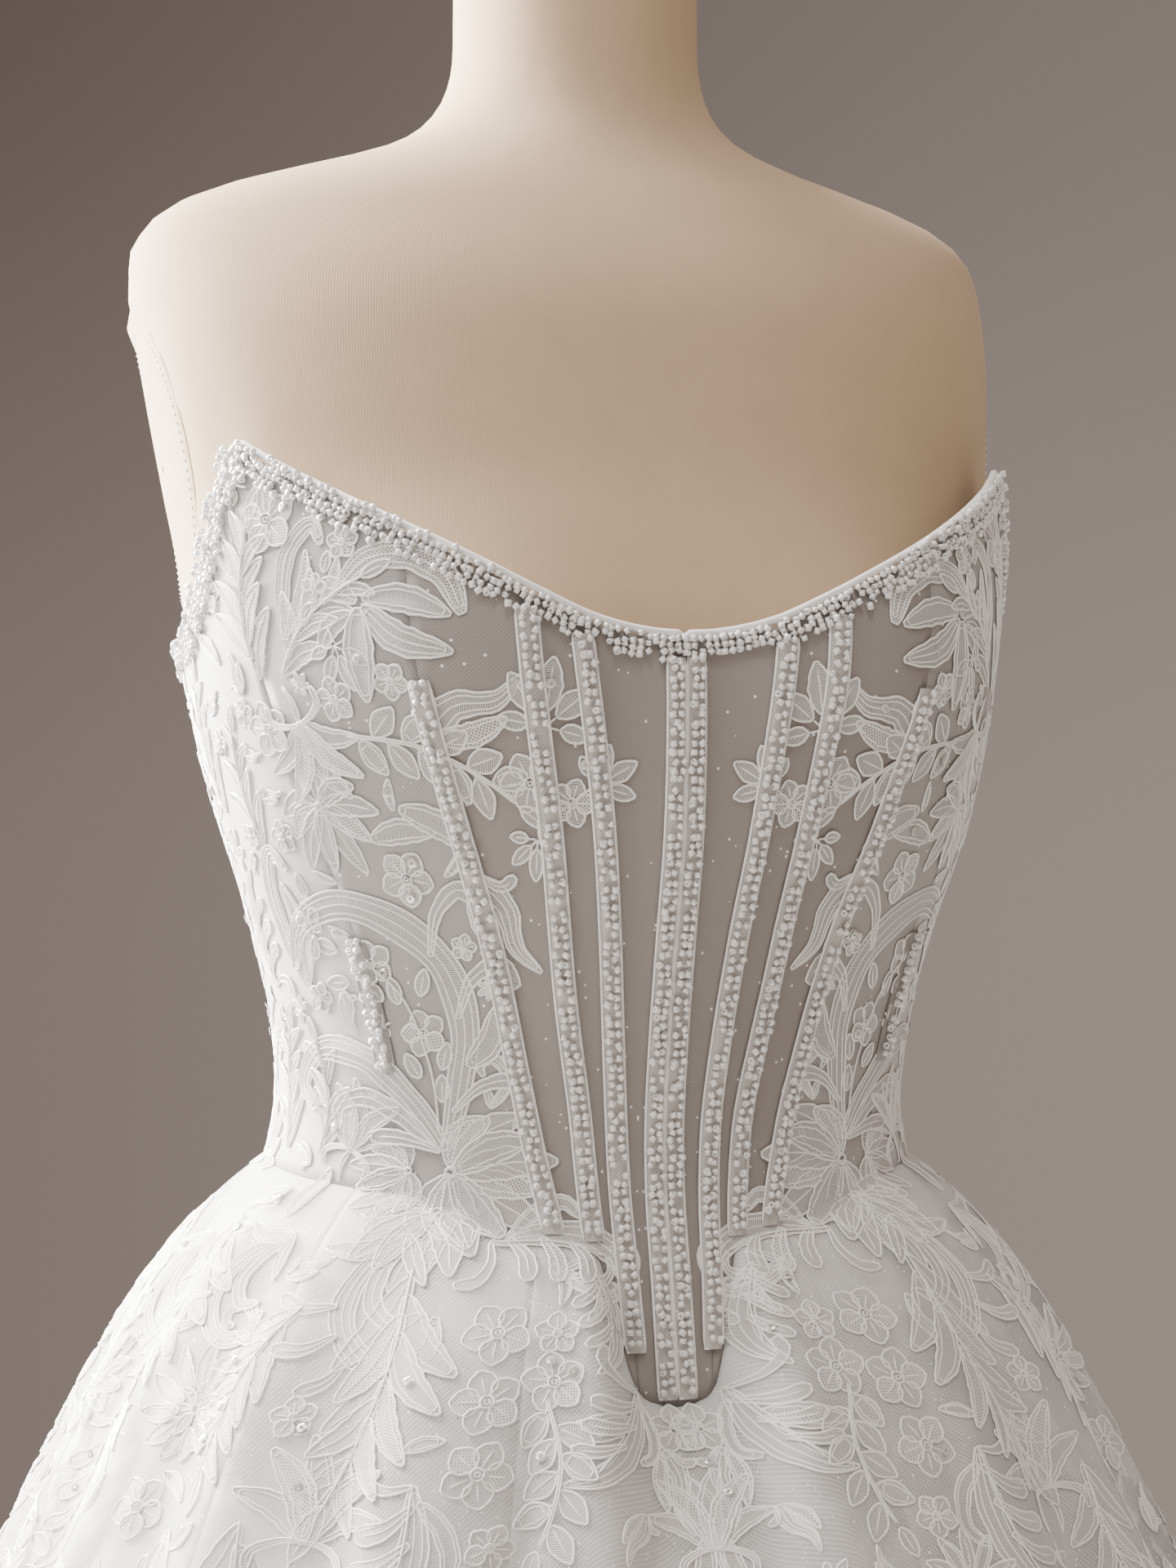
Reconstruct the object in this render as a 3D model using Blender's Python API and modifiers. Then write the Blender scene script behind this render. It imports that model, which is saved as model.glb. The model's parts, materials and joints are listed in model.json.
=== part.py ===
"""A-line bridal gown on a limbless dress form with a round stand.

Metres, +Z up. The form faces -Y, and its own right side lies at -X. The origin is on the floor, at the
centre of the stand's base. An angle of 0 is the centre front, and it grows towards +X.

Every cloth surface is a radius worked out from an angle and a height, so a piece that lies on another
is made from the same points moved outwards, and neighbours keep one even gap at their seam.
"""

import math

import bmesh
import bpy
import numpy as np

COLLECTION = "a_line_gown"
HELPERS = "cutters"

# Heights above the floor
HEM_Z = 0.010
BOARD_Z = 0.800
BUST_Z = 1.228
ARM_PLATE_Z = 1.309
NECK_TOP_Z = 1.532
ZIP_PULL_Z = 1.214

# Cloth, and the gaps that parted solids keep
WALL = 0.0015
SEAM_GAP = 0.0003
WAIST_GAP = 0.0005
CHANNEL_WALL = 0.0008
LACE_WALL = 0.0010
LIFT = 0.0008
BINDING_RADIUS = 0.0014
BINDING_LIFT = 0.0006

# Bust: how far each cup stands out, where it is, and how wide it is
BUST_PROJECTION = 0.011
BUST_ANGLE = math.radians(38.0)
BUST_ANGLE_REACH = math.radians(19.0)
BUST_HEIGHT_REACH = 0.042
BODICE_CUP_RISE = 0.075

# Skirt: even flare, the quick spring of the gathers under the waist, and the folds
FLARE = 0.430
SPRING = 0.024
SPRING_REACH = 0.035
FOLD_COUNT = 17
FOLD_BUNCHING = 4.5
FOLD_DEPTH_NEAR = 0.006
FOLD_DEPTH_GROWTH = 0.012
FOLD_REACH = 0.090
COLUMNS_PER_FOLD = 6
LINING_COLUMNS_PER_FOLD = 4
TULLE_STANDOFF = 0.010
TULLE_REACH = 0.045
LINING_FOLD_SHARE = 0.5
HEM_CROWDING = 1.9
SKIRT_ROWS = 7

# Seams of the under-skirt's gores and the over-skirt's pieces, on one side of the centre front
LINING_SEAMS = np.radians([25.0, 60.0, 95.0, 138.0, 180.0])
LINING_NAMES = ("side_front", "side", "side_back", "back")
TULLE_SIDE_SEAM = math.radians(95.0)

# Bodice seams, channels and their width
CHANNEL_WIDTH = 0.0075
CENTRE_CHANNEL_WIDTH = 0.0068
CENTRE_CHANNEL_OFFSET = 0.0038
CHANNEL_TOP_INSET = 0.009
CHANNEL_FOOT_GAP = 0.001
CHANNEL_ROW = 0.020
CHANNEL_LEAST_ROWS = 4
FRONT_RADIUS = 0.115
PANELS = (("centre", 3), ("second", 2), ("third", 3), ("bust", 6), ("side", 5), ("back", 8))
PANEL_ROWS = 12
SIDE_PANEL_CROWDING = 1.6
EDGE_SEARCH_STEPS = 40
SEAM_MERGE_ANGLE = 0.012

# Dress form and stand
FORM_COLUMNS = 32
BOARD_THICKNESS = 0.010
BOARD_INSET = 0.002
POLE_RADIUS = 0.016
BASE_RADIUS = 0.190
TURNED_STEPS = 32
BASE_THICKNESS = 0.012
HUB_TOP_Z = 0.030
HUB_RADIUS = 0.032
HUB_EDGE = 0.004
CAP_RADIUS = 0.048
CAP_HEIGHT = 0.012
CAP_PROFILE = ((0.0, 1.0), (0.6, 0.92), (0.9, 0.65), (1.0, 0.3), (1.0, 0.0), (0.0, 0.0))
ARM_PLATE_HALF_DEPTH = 0.042
ARM_PLATE_HALF_HEIGHT = 0.062
ARM_PLATE_WALL = 0.002
ARM_PLATE_STEPS = 20
ARM_PLATE_RINGS = (0.25, 0.65, 1.0)

# Zip slider and pull tab, in metres
SLIDER_SIZE = (0.0070, 0.0024, 0.0110)
SLIDER_BEVEL = 0.0005
BRIDGE_SIZE = (0.0014, 0.0036, 0.0046)
BRIDGE_WINDOW = (0.0060, 0.0020, 0.0026)
BRIDGE_ROOT = 0.0006
PULL_LENGTH = 0.020
PULL_WIDTH = 0.0056
PULL_WALL = 0.0010
PULL_BAR = 0.0011
PULL_EYE_WIDTH = 0.0024
PULL_EYE_LENGTH = 0.0042


def named_table(names, rows):
    """A table with named columns, one row for each section."""
    return np.array(rows, dtype=[(name, float) for name in names.split()])


# The jersey torso, from the bottom board to the top of the neck
FORM_SECTIONS = named_table(
    "height half_width front back centre_y square",
    [
        (0.800, 0.1560, 0.110, 0.124, 0.000, 2.2),
        (0.850, 0.1610, 0.117, 0.128, 0.000, 2.2),
        (0.900, 0.1580, 0.119, 0.124, 0.000, 2.2),
        (0.950, 0.1490, 0.116, 0.114, 0.000, 2.2),
        (1.000, 0.1350, 0.106, 0.100, 0.000, 2.1),
        (1.036, 0.1258, 0.098, 0.0905, 0.000, 2.1),
        (1.060, 0.1226, 0.0945, 0.0875, -0.003, 2.1),
        (1.087, 0.1243, 0.096, 0.0875, -0.006, 2.1),
        (1.130, 0.1337, 0.101, 0.0935, -0.011, 2.1),
        (1.166, 0.1443, 0.108, 0.1005, -0.013, 2.2),
        (1.199, 0.1532, 0.114, 0.1075, -0.010, 2.2),
        (1.235, 0.1585, 0.117, 0.1145, -0.005, 2.3),
        (1.270, 0.1605, 0.115, 0.1090, 0.005, 2.4),
        (1.300, 0.1650, 0.112, 0.106, 0.014, 2.5),
        (1.340, 0.1715, 0.111, 0.096, 0.024, 2.5),
        (1.370, 0.1760, 0.110, 0.088, 0.031, 2.4),
        (1.390, 0.1780, 0.106, 0.079, 0.036, 2.3),
        (1.406, 0.1765, 0.100, 0.070, 0.039, 2.2),
        (1.418, 0.1640, 0.094, 0.063, 0.040, 2.2),
        (1.427, 0.1390, 0.088, 0.058, 0.040, 2.1),
        (1.435, 0.1050, 0.082, 0.055, 0.038, 2.1),
        (1.443, 0.0800, 0.075, 0.053, 0.035, 2.0),
        (1.452, 0.0650, 0.067, 0.053, 0.030, 2.0),
        (1.462, 0.0560, 0.060, 0.054, 0.025, 2.0),
        (1.474, 0.0515, 0.055, 0.055, 0.021, 2.0),
        (1.500, 0.0500, 0.054, 0.054, 0.020, 2.0),
        (1.532, 0.0500, 0.054, 0.054, 0.020, 2.0),
    ],
)

# The outer face of the bodice, from the basque point to the peaks of the neckline
GOWN_SECTIONS = named_table(
    "height half_width front back centre_y square",
    [
        (0.950, 0.1525, 0.1195, 0.1175, 0.000, 2.2),
        (1.000, 0.1385, 0.1095, 0.1035, 0.000, 2.1),
        (1.036, 0.1300, 0.1015, 0.0955, 0.000, 2.1),
        (1.060, 0.1262, 0.0980, 0.0925, -0.003, 2.1),
        (1.087, 0.1277, 0.0993, 0.0924, -0.006, 2.1),
        (1.130, 0.1372, 0.1044, 0.0984, -0.011, 2.1),
        (1.166, 0.1482, 0.1114, 0.1054, -0.013, 2.2),
        (1.199, 0.1572, 0.1174, 0.1124, -0.010, 2.2),
        (1.235, 0.1632, 0.1214, 0.1194, -0.005, 2.3),
        (1.270, 0.1662, 0.1195, 0.1228, -0.002, 2.4),
        (1.320, 0.1672, 0.1145, 0.1245, 0.000, 2.4),
    ],
)

# The top edge of the bodice: low at the centre, a peak at each outer bust, then down to the side
TOP_EDGE = named_table(
    "degrees height",
    [
        (0.0, 1.2358),
        (6.0, 1.2366),
        (17.0, 1.2425),
        (24.0, 1.2502),
        (34.0, 1.2630),
        (44.0, 1.2756),
        (54.0, 1.2882),
        (62.0, 1.2988),
        (66.0, 1.3045),
        (68.6, 1.3070),
        (70.2, 1.3020),
        (71.6, 1.2920),
        (75.4, 1.2690),
        (83.5, 1.2430),
        (95.0, 1.2370),
        (180.0, 1.2360),
    ],
)

# The waist seam: level round the back and sides, dipping to a point at the centre front
WAIST_SEAM = named_table(
    "degrees height",
    [
        (0.0, 0.9590),
        (3.0, 0.9600),
        (7.4, 0.9660),
        (13.8, 1.0110),
        (20.0, 1.0170),
        (31.0, 1.0215),
        (51.0, 1.0320),
        (75.0, 1.0365),
        (180.0, 1.0370),
    ],
)

# Angle of each panel seam at each height, in degrees from the centre front
PANEL_SEAMS = named_table(
    "height first second third fourth",
    [
        (0.950, 6.4, 10.5, 16.0, 47.0),
        (1.020, 9.0, 15.0, 22.5, 52.0),
        (1.060, 10.6, 18.0, 28.5, 54.5),
        (1.110, 12.6, 22.0, 33.8, 58.5),
        (1.170, 15.0, 24.2, 39.0, 62.5),
        (1.240, 17.7, 25.6, 41.0, 66.5),
        (1.320, 20.5, 27.5, 44.0, 69.8),
    ],
)
SIDE_SEAM_DEGREES = 95.0

# Where each channel starts and ends; a height of 0 stands for the bodice's own edge
CHANNEL_STRETCHES = (
    ("first", 0.0, 0.0),
    ("second", 0.0, 0.0),
    ("third", 1.220, 0.0),
    ("fourth", 1.128, 1.078),
)

# Lace leaves: where each starts and ends on the bodice (degrees from the centre front, height), its
# half width and how far its middle bows
LEAVES = (
    ("crescent", (30.0, 1.2460), (57.0, 1.2660), 0.0085, -0.007),
    ("bust_leaf", (44.0, 1.2320), (55.0, 1.2050), 0.0060, 0.004),
    ("winged_leaf", (28.5, 1.2110), (36.0, 1.1900), 0.0055, -0.004),
    ("wing_leaf", (27.6, 1.1040), (30.2, 1.1480), 0.0040, 0.0),
)
LEAF_STEPS = 8
LEAF_TIP_SHARE = 0.08

# Lace flowers: centre, radius and number of petals
FLOWERS = (
    ("peak_flower", (62.5, 1.2790), 0.0125, 5),
    ("waist_flower", (44.0, 1.0460), 0.0140, 7),
)
FLOWER_RINGS = (0.12, 0.60, 1.0)
PETAL_DEPTH = 0.20
STEPS_PER_PETAL = 4

# The large lace scroll: centre, height of its arc, and half its width where it is widest
SCROLL_CENTRE = (52.0, 1.096)
SCROLL_RADIUS = 0.038
SCROLL_NARROWNESS = 0.62
SCROLL_TIGHTENING = 0.12
SCROLL_HALF_WIDTH = 0.0042
SCROLL_START = math.radians(118.0)
SCROLL_TURN = math.radians(190.0)
SCROLL_STEPS = 19


def columns_at(table, place):
    """Each named column as a cubic curve through its rows, read at the given places."""
    knots = table[table.dtype.names[0]]
    row = np.clip(np.searchsorted(knots, place) - 1, 0, len(knots) - 2)
    step = knots[row + 1] - knots[row]
    share = np.clip((place - knots[row]) / step, 0.0, 1.0)
    read = {}
    for name in table.dtype.names[1:]:
        value = table[name]
        slope = np.gradient(value, knots)
        start = (1 + 2 * share) * (1 - share) ** 2 * value[row]
        end = share**2 * (3 - 2 * share) * value[row + 1]
        leave = share * (1 - share) ** 2 * step * slope[row]
        arrive = share**2 * (share - 1) * step * slope[row + 1]
        read[name] = start + end + leave + arrive
    return read


def edge_height(table, angle):
    """Height of an edge that is given by its angle from the centre front, the same on both sides."""
    return columns_at(table, np.degrees(np.abs(angle)))["height"]


def outline_radius(table, angle, height, cup_rise):
    """Radius of the oval outline: a superellipse plus the two rounded cups."""
    row = columns_at(table, height)
    sine = np.abs(np.sin(angle))
    cosine = np.cos(angle)
    depth = np.where(cosine > 0, row["front"], row["back"])
    terms = (sine / row["half_width"]) ** row["square"] + np.abs(cosine / depth) ** row["square"]
    rise = height - BUST_Z
    reach = np.where(rise > 0, cup_rise, BUST_HEIGHT_REACH)
    across = (np.abs(angle) - BUST_ANGLE) / BUST_ANGLE_REACH
    cup = BUST_PROJECTION * np.exp(-(across**2) - (rise / reach) ** 2)
    return terms ** (-1.0 / row["square"]) + cup, row["centre_y"]


def placed(angle, height, radius, centre_y):
    """Points at the given angles, heights and radii about the upright line x = 0, y = centre_y."""
    angle, height, radius, centre_y = np.broadcast_arrays(angle, height, radius, centre_y)
    return np.stack([radius * np.sin(angle), centre_y - radius * np.cos(angle), height], axis=-1)


def form_point(angle, height, out=0.0):
    """A point on the torso, moved outwards."""
    radius, centre_y = outline_radius(FORM_SECTIONS, angle, height, BUST_HEIGHT_REACH)
    return placed(angle, height, radius + out, centre_y)


def bodice_point(angle, height, out=0.0):
    """A point on the outer face of the bodice, moved outwards."""
    radius, centre_y = outline_radius(GOWN_SECTIONS, angle, height, BODICE_CUP_RISE)
    return placed(angle, height, radius + out, centre_y)


def fold_phase(angle):
    """Phase of the skirt's folds: broad at the centre front and back, close at the sides."""
    return FOLD_COUNT * angle - FOLD_BUNCHING * np.sin(2 * angle)


def skirt_point(angle, share, fold_share, standoff, out=0.0):
    """A point of the skirt: share 0 is the waist seam and 1 the hem."""
    seam = edge_height(WAIST_SEAM, angle)
    radius, centre_y = outline_radius(GOWN_SECTIONS, angle, seam, BODICE_CUP_RISE)
    step = math.radians(0.5)
    rise = edge_height(WAIST_SEAM, angle + step) - edge_height(WAIST_SEAM, angle - step)
    top = seam - WAIST_GAP * np.hypot(1.0, rise / (2 * step * radius))
    drop = (top - HEM_Z) * share
    spread = FLARE * drop + SPRING * (1 - np.exp(-drop / SPRING_REACH))
    depth = FOLD_DEPTH_NEAR * (1 - np.exp(-drop / FOLD_REACH)) + FOLD_DEPTH_GROWTH * drop
    unevenness = 0.8 + 0.2 * np.cos(3 * angle + 0.8)
    fold = fold_share * depth * unevenness * np.cos(fold_phase(angle))
    clear = standoff * (1 - np.exp(-drop / TULLE_REACH))
    return placed(angle, top - drop, radius + spread + fold + clear + out, centre_y)


def lining_point(angle, share, out=0.0):
    """A point on the outer face of the under-skirt, moved outwards."""
    return skirt_point(angle, share, LINING_FOLD_SHARE, 0.0, out)


def tulle_point(angle, share, out=0.0):
    """A point on the outer face of the over-skirt, which stands off the under-skirt."""
    return skirt_point(angle, share, 1.0, TULLE_STANDOFF, out + WALL + SEAM_GAP)


def add_mesh(name, points, faces):
    """A new object in the gown's collection, from points and faces."""
    mesh = bpy.data.meshes.new(name)
    mesh.from_pydata([tuple(point) for point in points], [], faces)
    item = bpy.data.objects.new(name, mesh)
    bpy.data.collections[COLLECTION].objects.link(item)
    return item


def turn_faces_out(item):
    """Make the faces of a closed mesh point outwards."""
    shape = bmesh.new()
    shape.from_mesh(item.data)
    bmesh.ops.recalc_face_normals(shape, faces=shape.faces)
    shape.to_mesh(item.data)
    shape.free()


def grid_faces(rows, columns, start=0):
    """Triangles of a grid of points stored row by row, every cell cut along the same diagonal, so
    that layers made from the same points lie evenly on each other."""
    faces = []
    for row in range(rows - 1):
        for column in range(columns - 1):
            first = start + row * columns + column
            below = first + columns
            faces.append((first, first + 1, below + 1))
            faces.append((first, below + 1, below))
    return faces


def ring_faces(rings, steps):
    """Faces of a mesh stored ring by ring, with one face over the first ring."""
    faces = [tuple(range(steps))]
    for ring in range(rings - 1):
        for step in range(steps):
            after = (step + 1) % steps
            low = ring * steps
            faces.append((low + after, low + step, low + steps + step, low + steps + after))
    return faces


def wall(name, outer, inner):
    """A closed wall of cloth, lofted between the grids of its outer and inner face."""
    rows, columns = outer.shape[:2]
    count = rows * columns
    rim = list(range(columns))
    rim += [row * columns + columns - 1 for row in range(1, rows)]
    rim += [(rows - 1) * columns + column for column in range(columns - 2, -1, -1)]
    rim += [row * columns for row in range(rows - 2, 0, -1)]
    faces = grid_faces(rows, columns)
    faces += [tuple(reversed(face)) for face in grid_faces(rows, columns, count)]
    for here, after in zip(rim, rim[1:] + rim[:1]):
        faces.append((after, here, here + count, after + count))
    item = add_mesh(name, np.concatenate([outer.reshape(-1, 3), inner.reshape(-1, 3)]), faces)
    turn_faces_out(item)
    shade(item)
    return item


def laid_on(name, grid, thickness):
    """A flat piece that lies on another: its back as an open grid, given its thickness outwards."""
    rows, columns = grid.shape[:2]
    item = add_mesh(name, grid.reshape(-1, 3), grid_faces(rows, columns))
    give_wall(item, thickness)
    return item


def disc_on(name, grid, thickness):
    """A round piece that lies on another: its back as rings of points, given its thickness outwards."""
    item = add_mesh(name, grid.reshape(-1, 3), ring_faces(*grid.shape[:2]))
    turn_faces_out(item)
    give_wall(item, thickness)
    return item


def give_wall(item, thickness):
    """Solidify an open surface outwards, away from the upright line through the origin."""
    mesh = item.data
    outward = sum(face.area * face.normal.xy.dot(face.center.xy) for face in mesh.polygons)
    if outward < 0:
        mesh.flip_normals()
    solidify = item.modifiers.new("cloth", "SOLIDIFY")
    solidify.thickness = thickness
    solidify.offset = 1.0
    shade(item)


def shade(item):
    """Smooth shading that keeps the edges of the cloth crisp."""
    item.data.shade_smooth()
    item.data.set_sharp_from_angle(angle=math.radians(40.0))


def finish(item, colour, roughness, metallic=0.0):
    """Give an object its own material."""
    material = bpy.data.materials.new(item.name)
    material.use_nodes = True
    shader = material.node_tree.nodes["Principled BSDF"]
    shader.inputs["Base Color"].default_value = (*colour, 1.0)
    shader.inputs["Roughness"].default_value = roughness
    shader.inputs["Metallic"].default_value = metallic
    item.data.materials.append(material)
    return item


def jersey(item):
    """Fine beige jersey."""
    return finish(item, (0.62, 0.50, 0.37), 0.85)


def satin(item):
    """Smooth white lining."""
    return finish(item, (0.80, 0.80, 0.79), 0.55)


def tulle(item):
    """White tulle."""
    return finish(item, (0.86, 0.86, 0.85), 0.70)


def lace(item):
    """Corded ivory lace and the beaded bands."""
    return finish(item, (0.84, 0.83, 0.80), 0.60)


def steel(item):
    """Plain painted or plated steel."""
    return finish(item, (0.55, 0.55, 0.56), 0.35, 1.0)


def seam_angle(number, height):
    """Angle of a panel seam: 0 is the centre front, 5 the side seam and 6 the centre back."""
    if number == 0:
        return np.zeros_like(height)
    if number == 5:
        return np.full_like(height, math.radians(SIDE_SEAM_DEGREES))
    if number == 6:
        return np.full_like(height, math.pi)
    name = PANEL_SEAMS.dtype.names[number]
    return np.radians(columns_at(PANEL_SEAMS, height)[name])


def panel_grid(number, columns):
    """Angles and heights of a bodice panel between two seams, its top edge and the waist seam."""
    across = np.linspace(0.0, 1.0, columns + 1)
    if PANELS[number][0] == "side":
        across = across**SIDE_PANEL_CROWDING
    down = np.linspace(0.0, 1.0, PANEL_ROWS + 1)
    top = np.full_like(across, BUST_Z)
    bottom = np.full_like(across, BUST_Z)
    for _ in range(EDGE_SEARCH_STEPS):
        top_angle = seam_angle(number, top) * (1 - across) + seam_angle(number + 1, top) * across
        bottom_angle = seam_angle(number, bottom) * (1 - across) + seam_angle(number + 1, bottom) * across
        top = edge_height(TOP_EDGE, top_angle)
        bottom = edge_height(WAIST_SEAM, bottom_angle)
    height = top + (bottom - top) * down[:, None]
    near = seam_angle(number, height)
    far = seam_angle(number + 1, height)
    middle = near * (1 - across) + far * across
    half_gap = SEAM_GAP / 2 / outline_radius(GOWN_SECTIONS, middle, height, BODICE_CUP_RISE)[0]
    return (near + half_gap) * (1 - across) + (far - half_gap) * across, height


def build_bodice(side, side_name):
    """The six panels of one side. Returns the points of their top edge, from front to back."""
    top_edge = []
    for number, (name, columns) in enumerate(PANELS):
        angle, height = panel_grid(number, columns)
        outer = bodice_point(side * angle, height)
        inner = bodice_point(side * angle, height, -WALL)
        satin(wall(f"bodice_{name}_{side_name}", outer, inner))
        top_edge.append(outer[0, :-1] if number < len(PANELS) - 1 else outer[0])
    return np.concatenate(top_edge)


def build_binding(top_edge, side_name):
    """The rolled binding: a cord just above the top edge, over the middle of the wall."""
    along = np.gradient(top_edge, axis=0)
    outwards = top_edge * (1.0, 1.0, 0.0)
    outwards /= np.linalg.norm(outwards, axis=1)[:, None]
    upwards = np.cross(along, outwards)
    upwards /= np.linalg.norm(upwards, axis=1)[:, None]
    upwards *= np.sign(upwards[:, 2])[:, None]
    route = top_edge + upwards * (BINDING_RADIUS + BINDING_LIFT) - outwards * (WALL / 2)
    route[0, 0] = math.copysign(SEAM_GAP / 2, route[1, 0])
    route[-1, 0] = math.copysign(SEAM_GAP / 2, route[-2, 0])
    curve = bpy.data.curves.new(f"binding_{side_name}", "CURVE")
    curve.dimensions = "3D"
    curve.bevel_depth = BINDING_RADIUS
    curve.bevel_resolution = 1
    curve.use_fill_caps = True
    line = curve.splines.new("POLY")
    line.points.add(len(route) - 1)
    for point, place in zip(line.points, route):
        point.co = (*place, 1.0)
    item = bpy.data.objects.new(curve.name, curve)
    bpy.data.collections[COLLECTION].objects.link(item)
    satin(item)


def band_on_bodice(name, angle, height, half_width):
    """A raised band along a line of angles and heights on the bodice."""
    offset = np.array([-half_width, 0.0, half_width])
    radius = outline_radius(GOWN_SECTIONS, angle, height, BODICE_CUP_RISE)[0]
    across = angle[:, None] + offset / radius[:, None]
    grid = bodice_point(across, height[:, None], LIFT)
    return lace(laid_on(name, grid, CHANNEL_WALL))


def build_channels(side, side_name):
    """The boning channels of one side, over the panel seams."""
    top = edge_height(TOP_EDGE, 0.0) - CHANNEL_TOP_INSET
    outer_edge = CENTRE_CHANNEL_OFFSET + CENTRE_CHANNEL_WIDTH / 2
    bottom = edge_height(WAIST_SEAM, outer_edge / FRONT_RADIUS) + CHANNEL_FOOT_GAP
    height = np.linspace(top, bottom, round(float(top - bottom) / CHANNEL_ROW) + 1)
    radius = outline_radius(GOWN_SECTIONS, 0.0 * height, height, BODICE_CUP_RISE)[0]
    angle = side * CENTRE_CHANNEL_OFFSET / radius
    band_on_bodice(f"channel_centre_{side_name}", angle, height, CENTRE_CHANNEL_WIDTH / 2)
    for number, (name, starts, ends) in enumerate(CHANNEL_STRETCHES, start=1):
        top = starts or edge_height(TOP_EDGE, seam_angle(number, np.array(BUST_Z))) - CHANNEL_TOP_INSET
        bottom = ends or channel_foot(number)
        rows = max(CHANNEL_LEAST_ROWS, round(float(top - bottom) / CHANNEL_ROW))
        height = np.linspace(top, bottom, rows + 1)
        angle = side * seam_angle(number, height)
        band_on_bodice(f"channel_{name}_{side_name}", angle, height, CHANNEL_WIDTH / 2)


def channel_foot(number):
    """Height at which a channel's outer edge meets the waist seam."""
    height = np.array(WAIST_SEAM["height"][-1])
    for _ in range(EDGE_SEARCH_STEPS):
        edge = seam_angle(number, height) + CHANNEL_WIDTH / 2 / FRONT_RADIUS
        height = edge_height(WAIST_SEAM, edge)
    return height + CHANNEL_FOOT_GAP


def lace_on_bodice(name, side, centre, along, across):
    """A lace piece: a grid of widths and heights in metres, laid on the bodice about a centre."""
    angle = math.radians(centre[0])
    height = centre[1] + across
    radius = outline_radius(GOWN_SECTIONS, angle + 0.0 * height, height, BODICE_CUP_RISE)[0]
    grid = bodice_point(side * (angle + along / radius), height, LIFT)
    return lace(laid_on(name, grid, LACE_WALL))


def build_leaf(name, side, start, end, half_width, bow):
    """A pointed leaf between two places, widest in the middle, its spine a shallow arc."""
    share = np.linspace(0.0, 1.0, LEAF_STEPS + 1)[:, None]
    edge = np.array([-1.0, 0.0, 1.0])
    middle = ((start[0] + end[0]) / 2, (start[1] + end[1]) / 2)
    angle = np.radians(middle[0])
    radius = float(outline_radius(GOWN_SECTIONS, angle, np.array(middle[1]), BODICE_CUP_RISE)[0])
    run = np.array([math.radians(end[0] - start[0]) * radius, end[1] - start[1]])
    cross = np.array([-run[1], run[0]]) / np.linalg.norm(run)
    belly = LEAF_TIP_SHARE + (1 - LEAF_TIP_SHARE) * np.sin(math.pi * share**0.85)
    width = half_width * belly * edge + bow * np.sin(math.pi * share)
    along = run[0] * (share - 0.5) + cross[0] * width
    upwards = run[1] * (share - 0.5) + cross[1] * width
    return lace_on_bodice(name, side, middle, along, upwards)


def build_flower(name, side, centre, radius, petals):
    """An open flower: an annulus whose outer edge waves in and out once for each petal."""
    turn = np.linspace(0.0, 2 * math.pi, petals * STEPS_PER_PETAL + 1)[:-1]
    reach = np.array(FLOWER_RINGS)[:, None] * radius
    lobes = np.where(reach >= radius, 1 - PETAL_DEPTH + PETAL_DEPTH * np.cos(petals * turn), 1.0)
    along = reach * lobes * np.cos(turn)
    upwards = reach * lobes * np.sin(turn)
    angle = math.radians(centre[0])
    height = centre[1] + upwards
    scale = outline_radius(GOWN_SECTIONS, angle + 0.0 * height, height, BODICE_CUP_RISE)[0]
    grid = bodice_point(side * (angle + along / scale), height, LIFT)
    return lace(disc_on(name, grid, LACE_WALL))


def build_scroll(name, side):
    """The large scroll from the bust to the waist: an arc that widens and then narrows."""
    share = np.linspace(0.0, 1.0, SCROLL_STEPS + 1)[:, None]
    edge = np.array([-1.0, 0.0, 1.0])
    turn = SCROLL_START - SCROLL_TURN * share
    bend = SCROLL_RADIUS * (1.0 - SCROLL_TIGHTENING * share)
    half_width = SCROLL_HALF_WIDTH * (0.25 + 0.75 * np.sin(math.pi * share) ** 0.7)
    along = -(bend + half_width * edge) * np.cos(turn) * SCROLL_NARROWNESS
    upwards = (bend + half_width * edge) * np.sin(turn)
    return lace_on_bodice(name, side, SCROLL_CENTRE, along, upwards)


def build_lace(side, side_name):
    """The large lace motifs of one side."""
    for name, start, end, half_width, bow in LEAVES:
        build_leaf(f"lace_{name}_{side_name}", side, start, end, half_width, bow)
    for name, centre, radius, petals in FLOWERS:
        build_flower(f"lace_{name}_{side_name}", side, centre, radius, petals)
    build_scroll(f"lace_scroll_{side_name}", side)


def skirt_piece(name, surface, start, end, columns, rows, thickness):
    """A gore of cloth between two seams, from the waist seam to the hem."""
    angle = columns[(columns > start + SEAM_MERGE_ANGLE) & (columns < end - SEAM_MERGE_ANGLE)]
    angle = np.concatenate([[start], angle, [end]])
    share = (np.linspace(0.0, 1.0, rows + 1) ** HEM_CROWDING)[:, None]
    grid = surface(angle[None, :], share)
    radius = np.hypot(grid[..., 0], grid[..., 1])
    inset = np.zeros_like(radius)
    inset[:, 0] = SEAM_GAP / 2 / radius[:, 0]
    inset[:, -1] = -SEAM_GAP / 2 / radius[:, -1]
    turned = angle[None, :] + inset
    return wall(name, surface(turned, share), surface(turned, share, -thickness))


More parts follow.
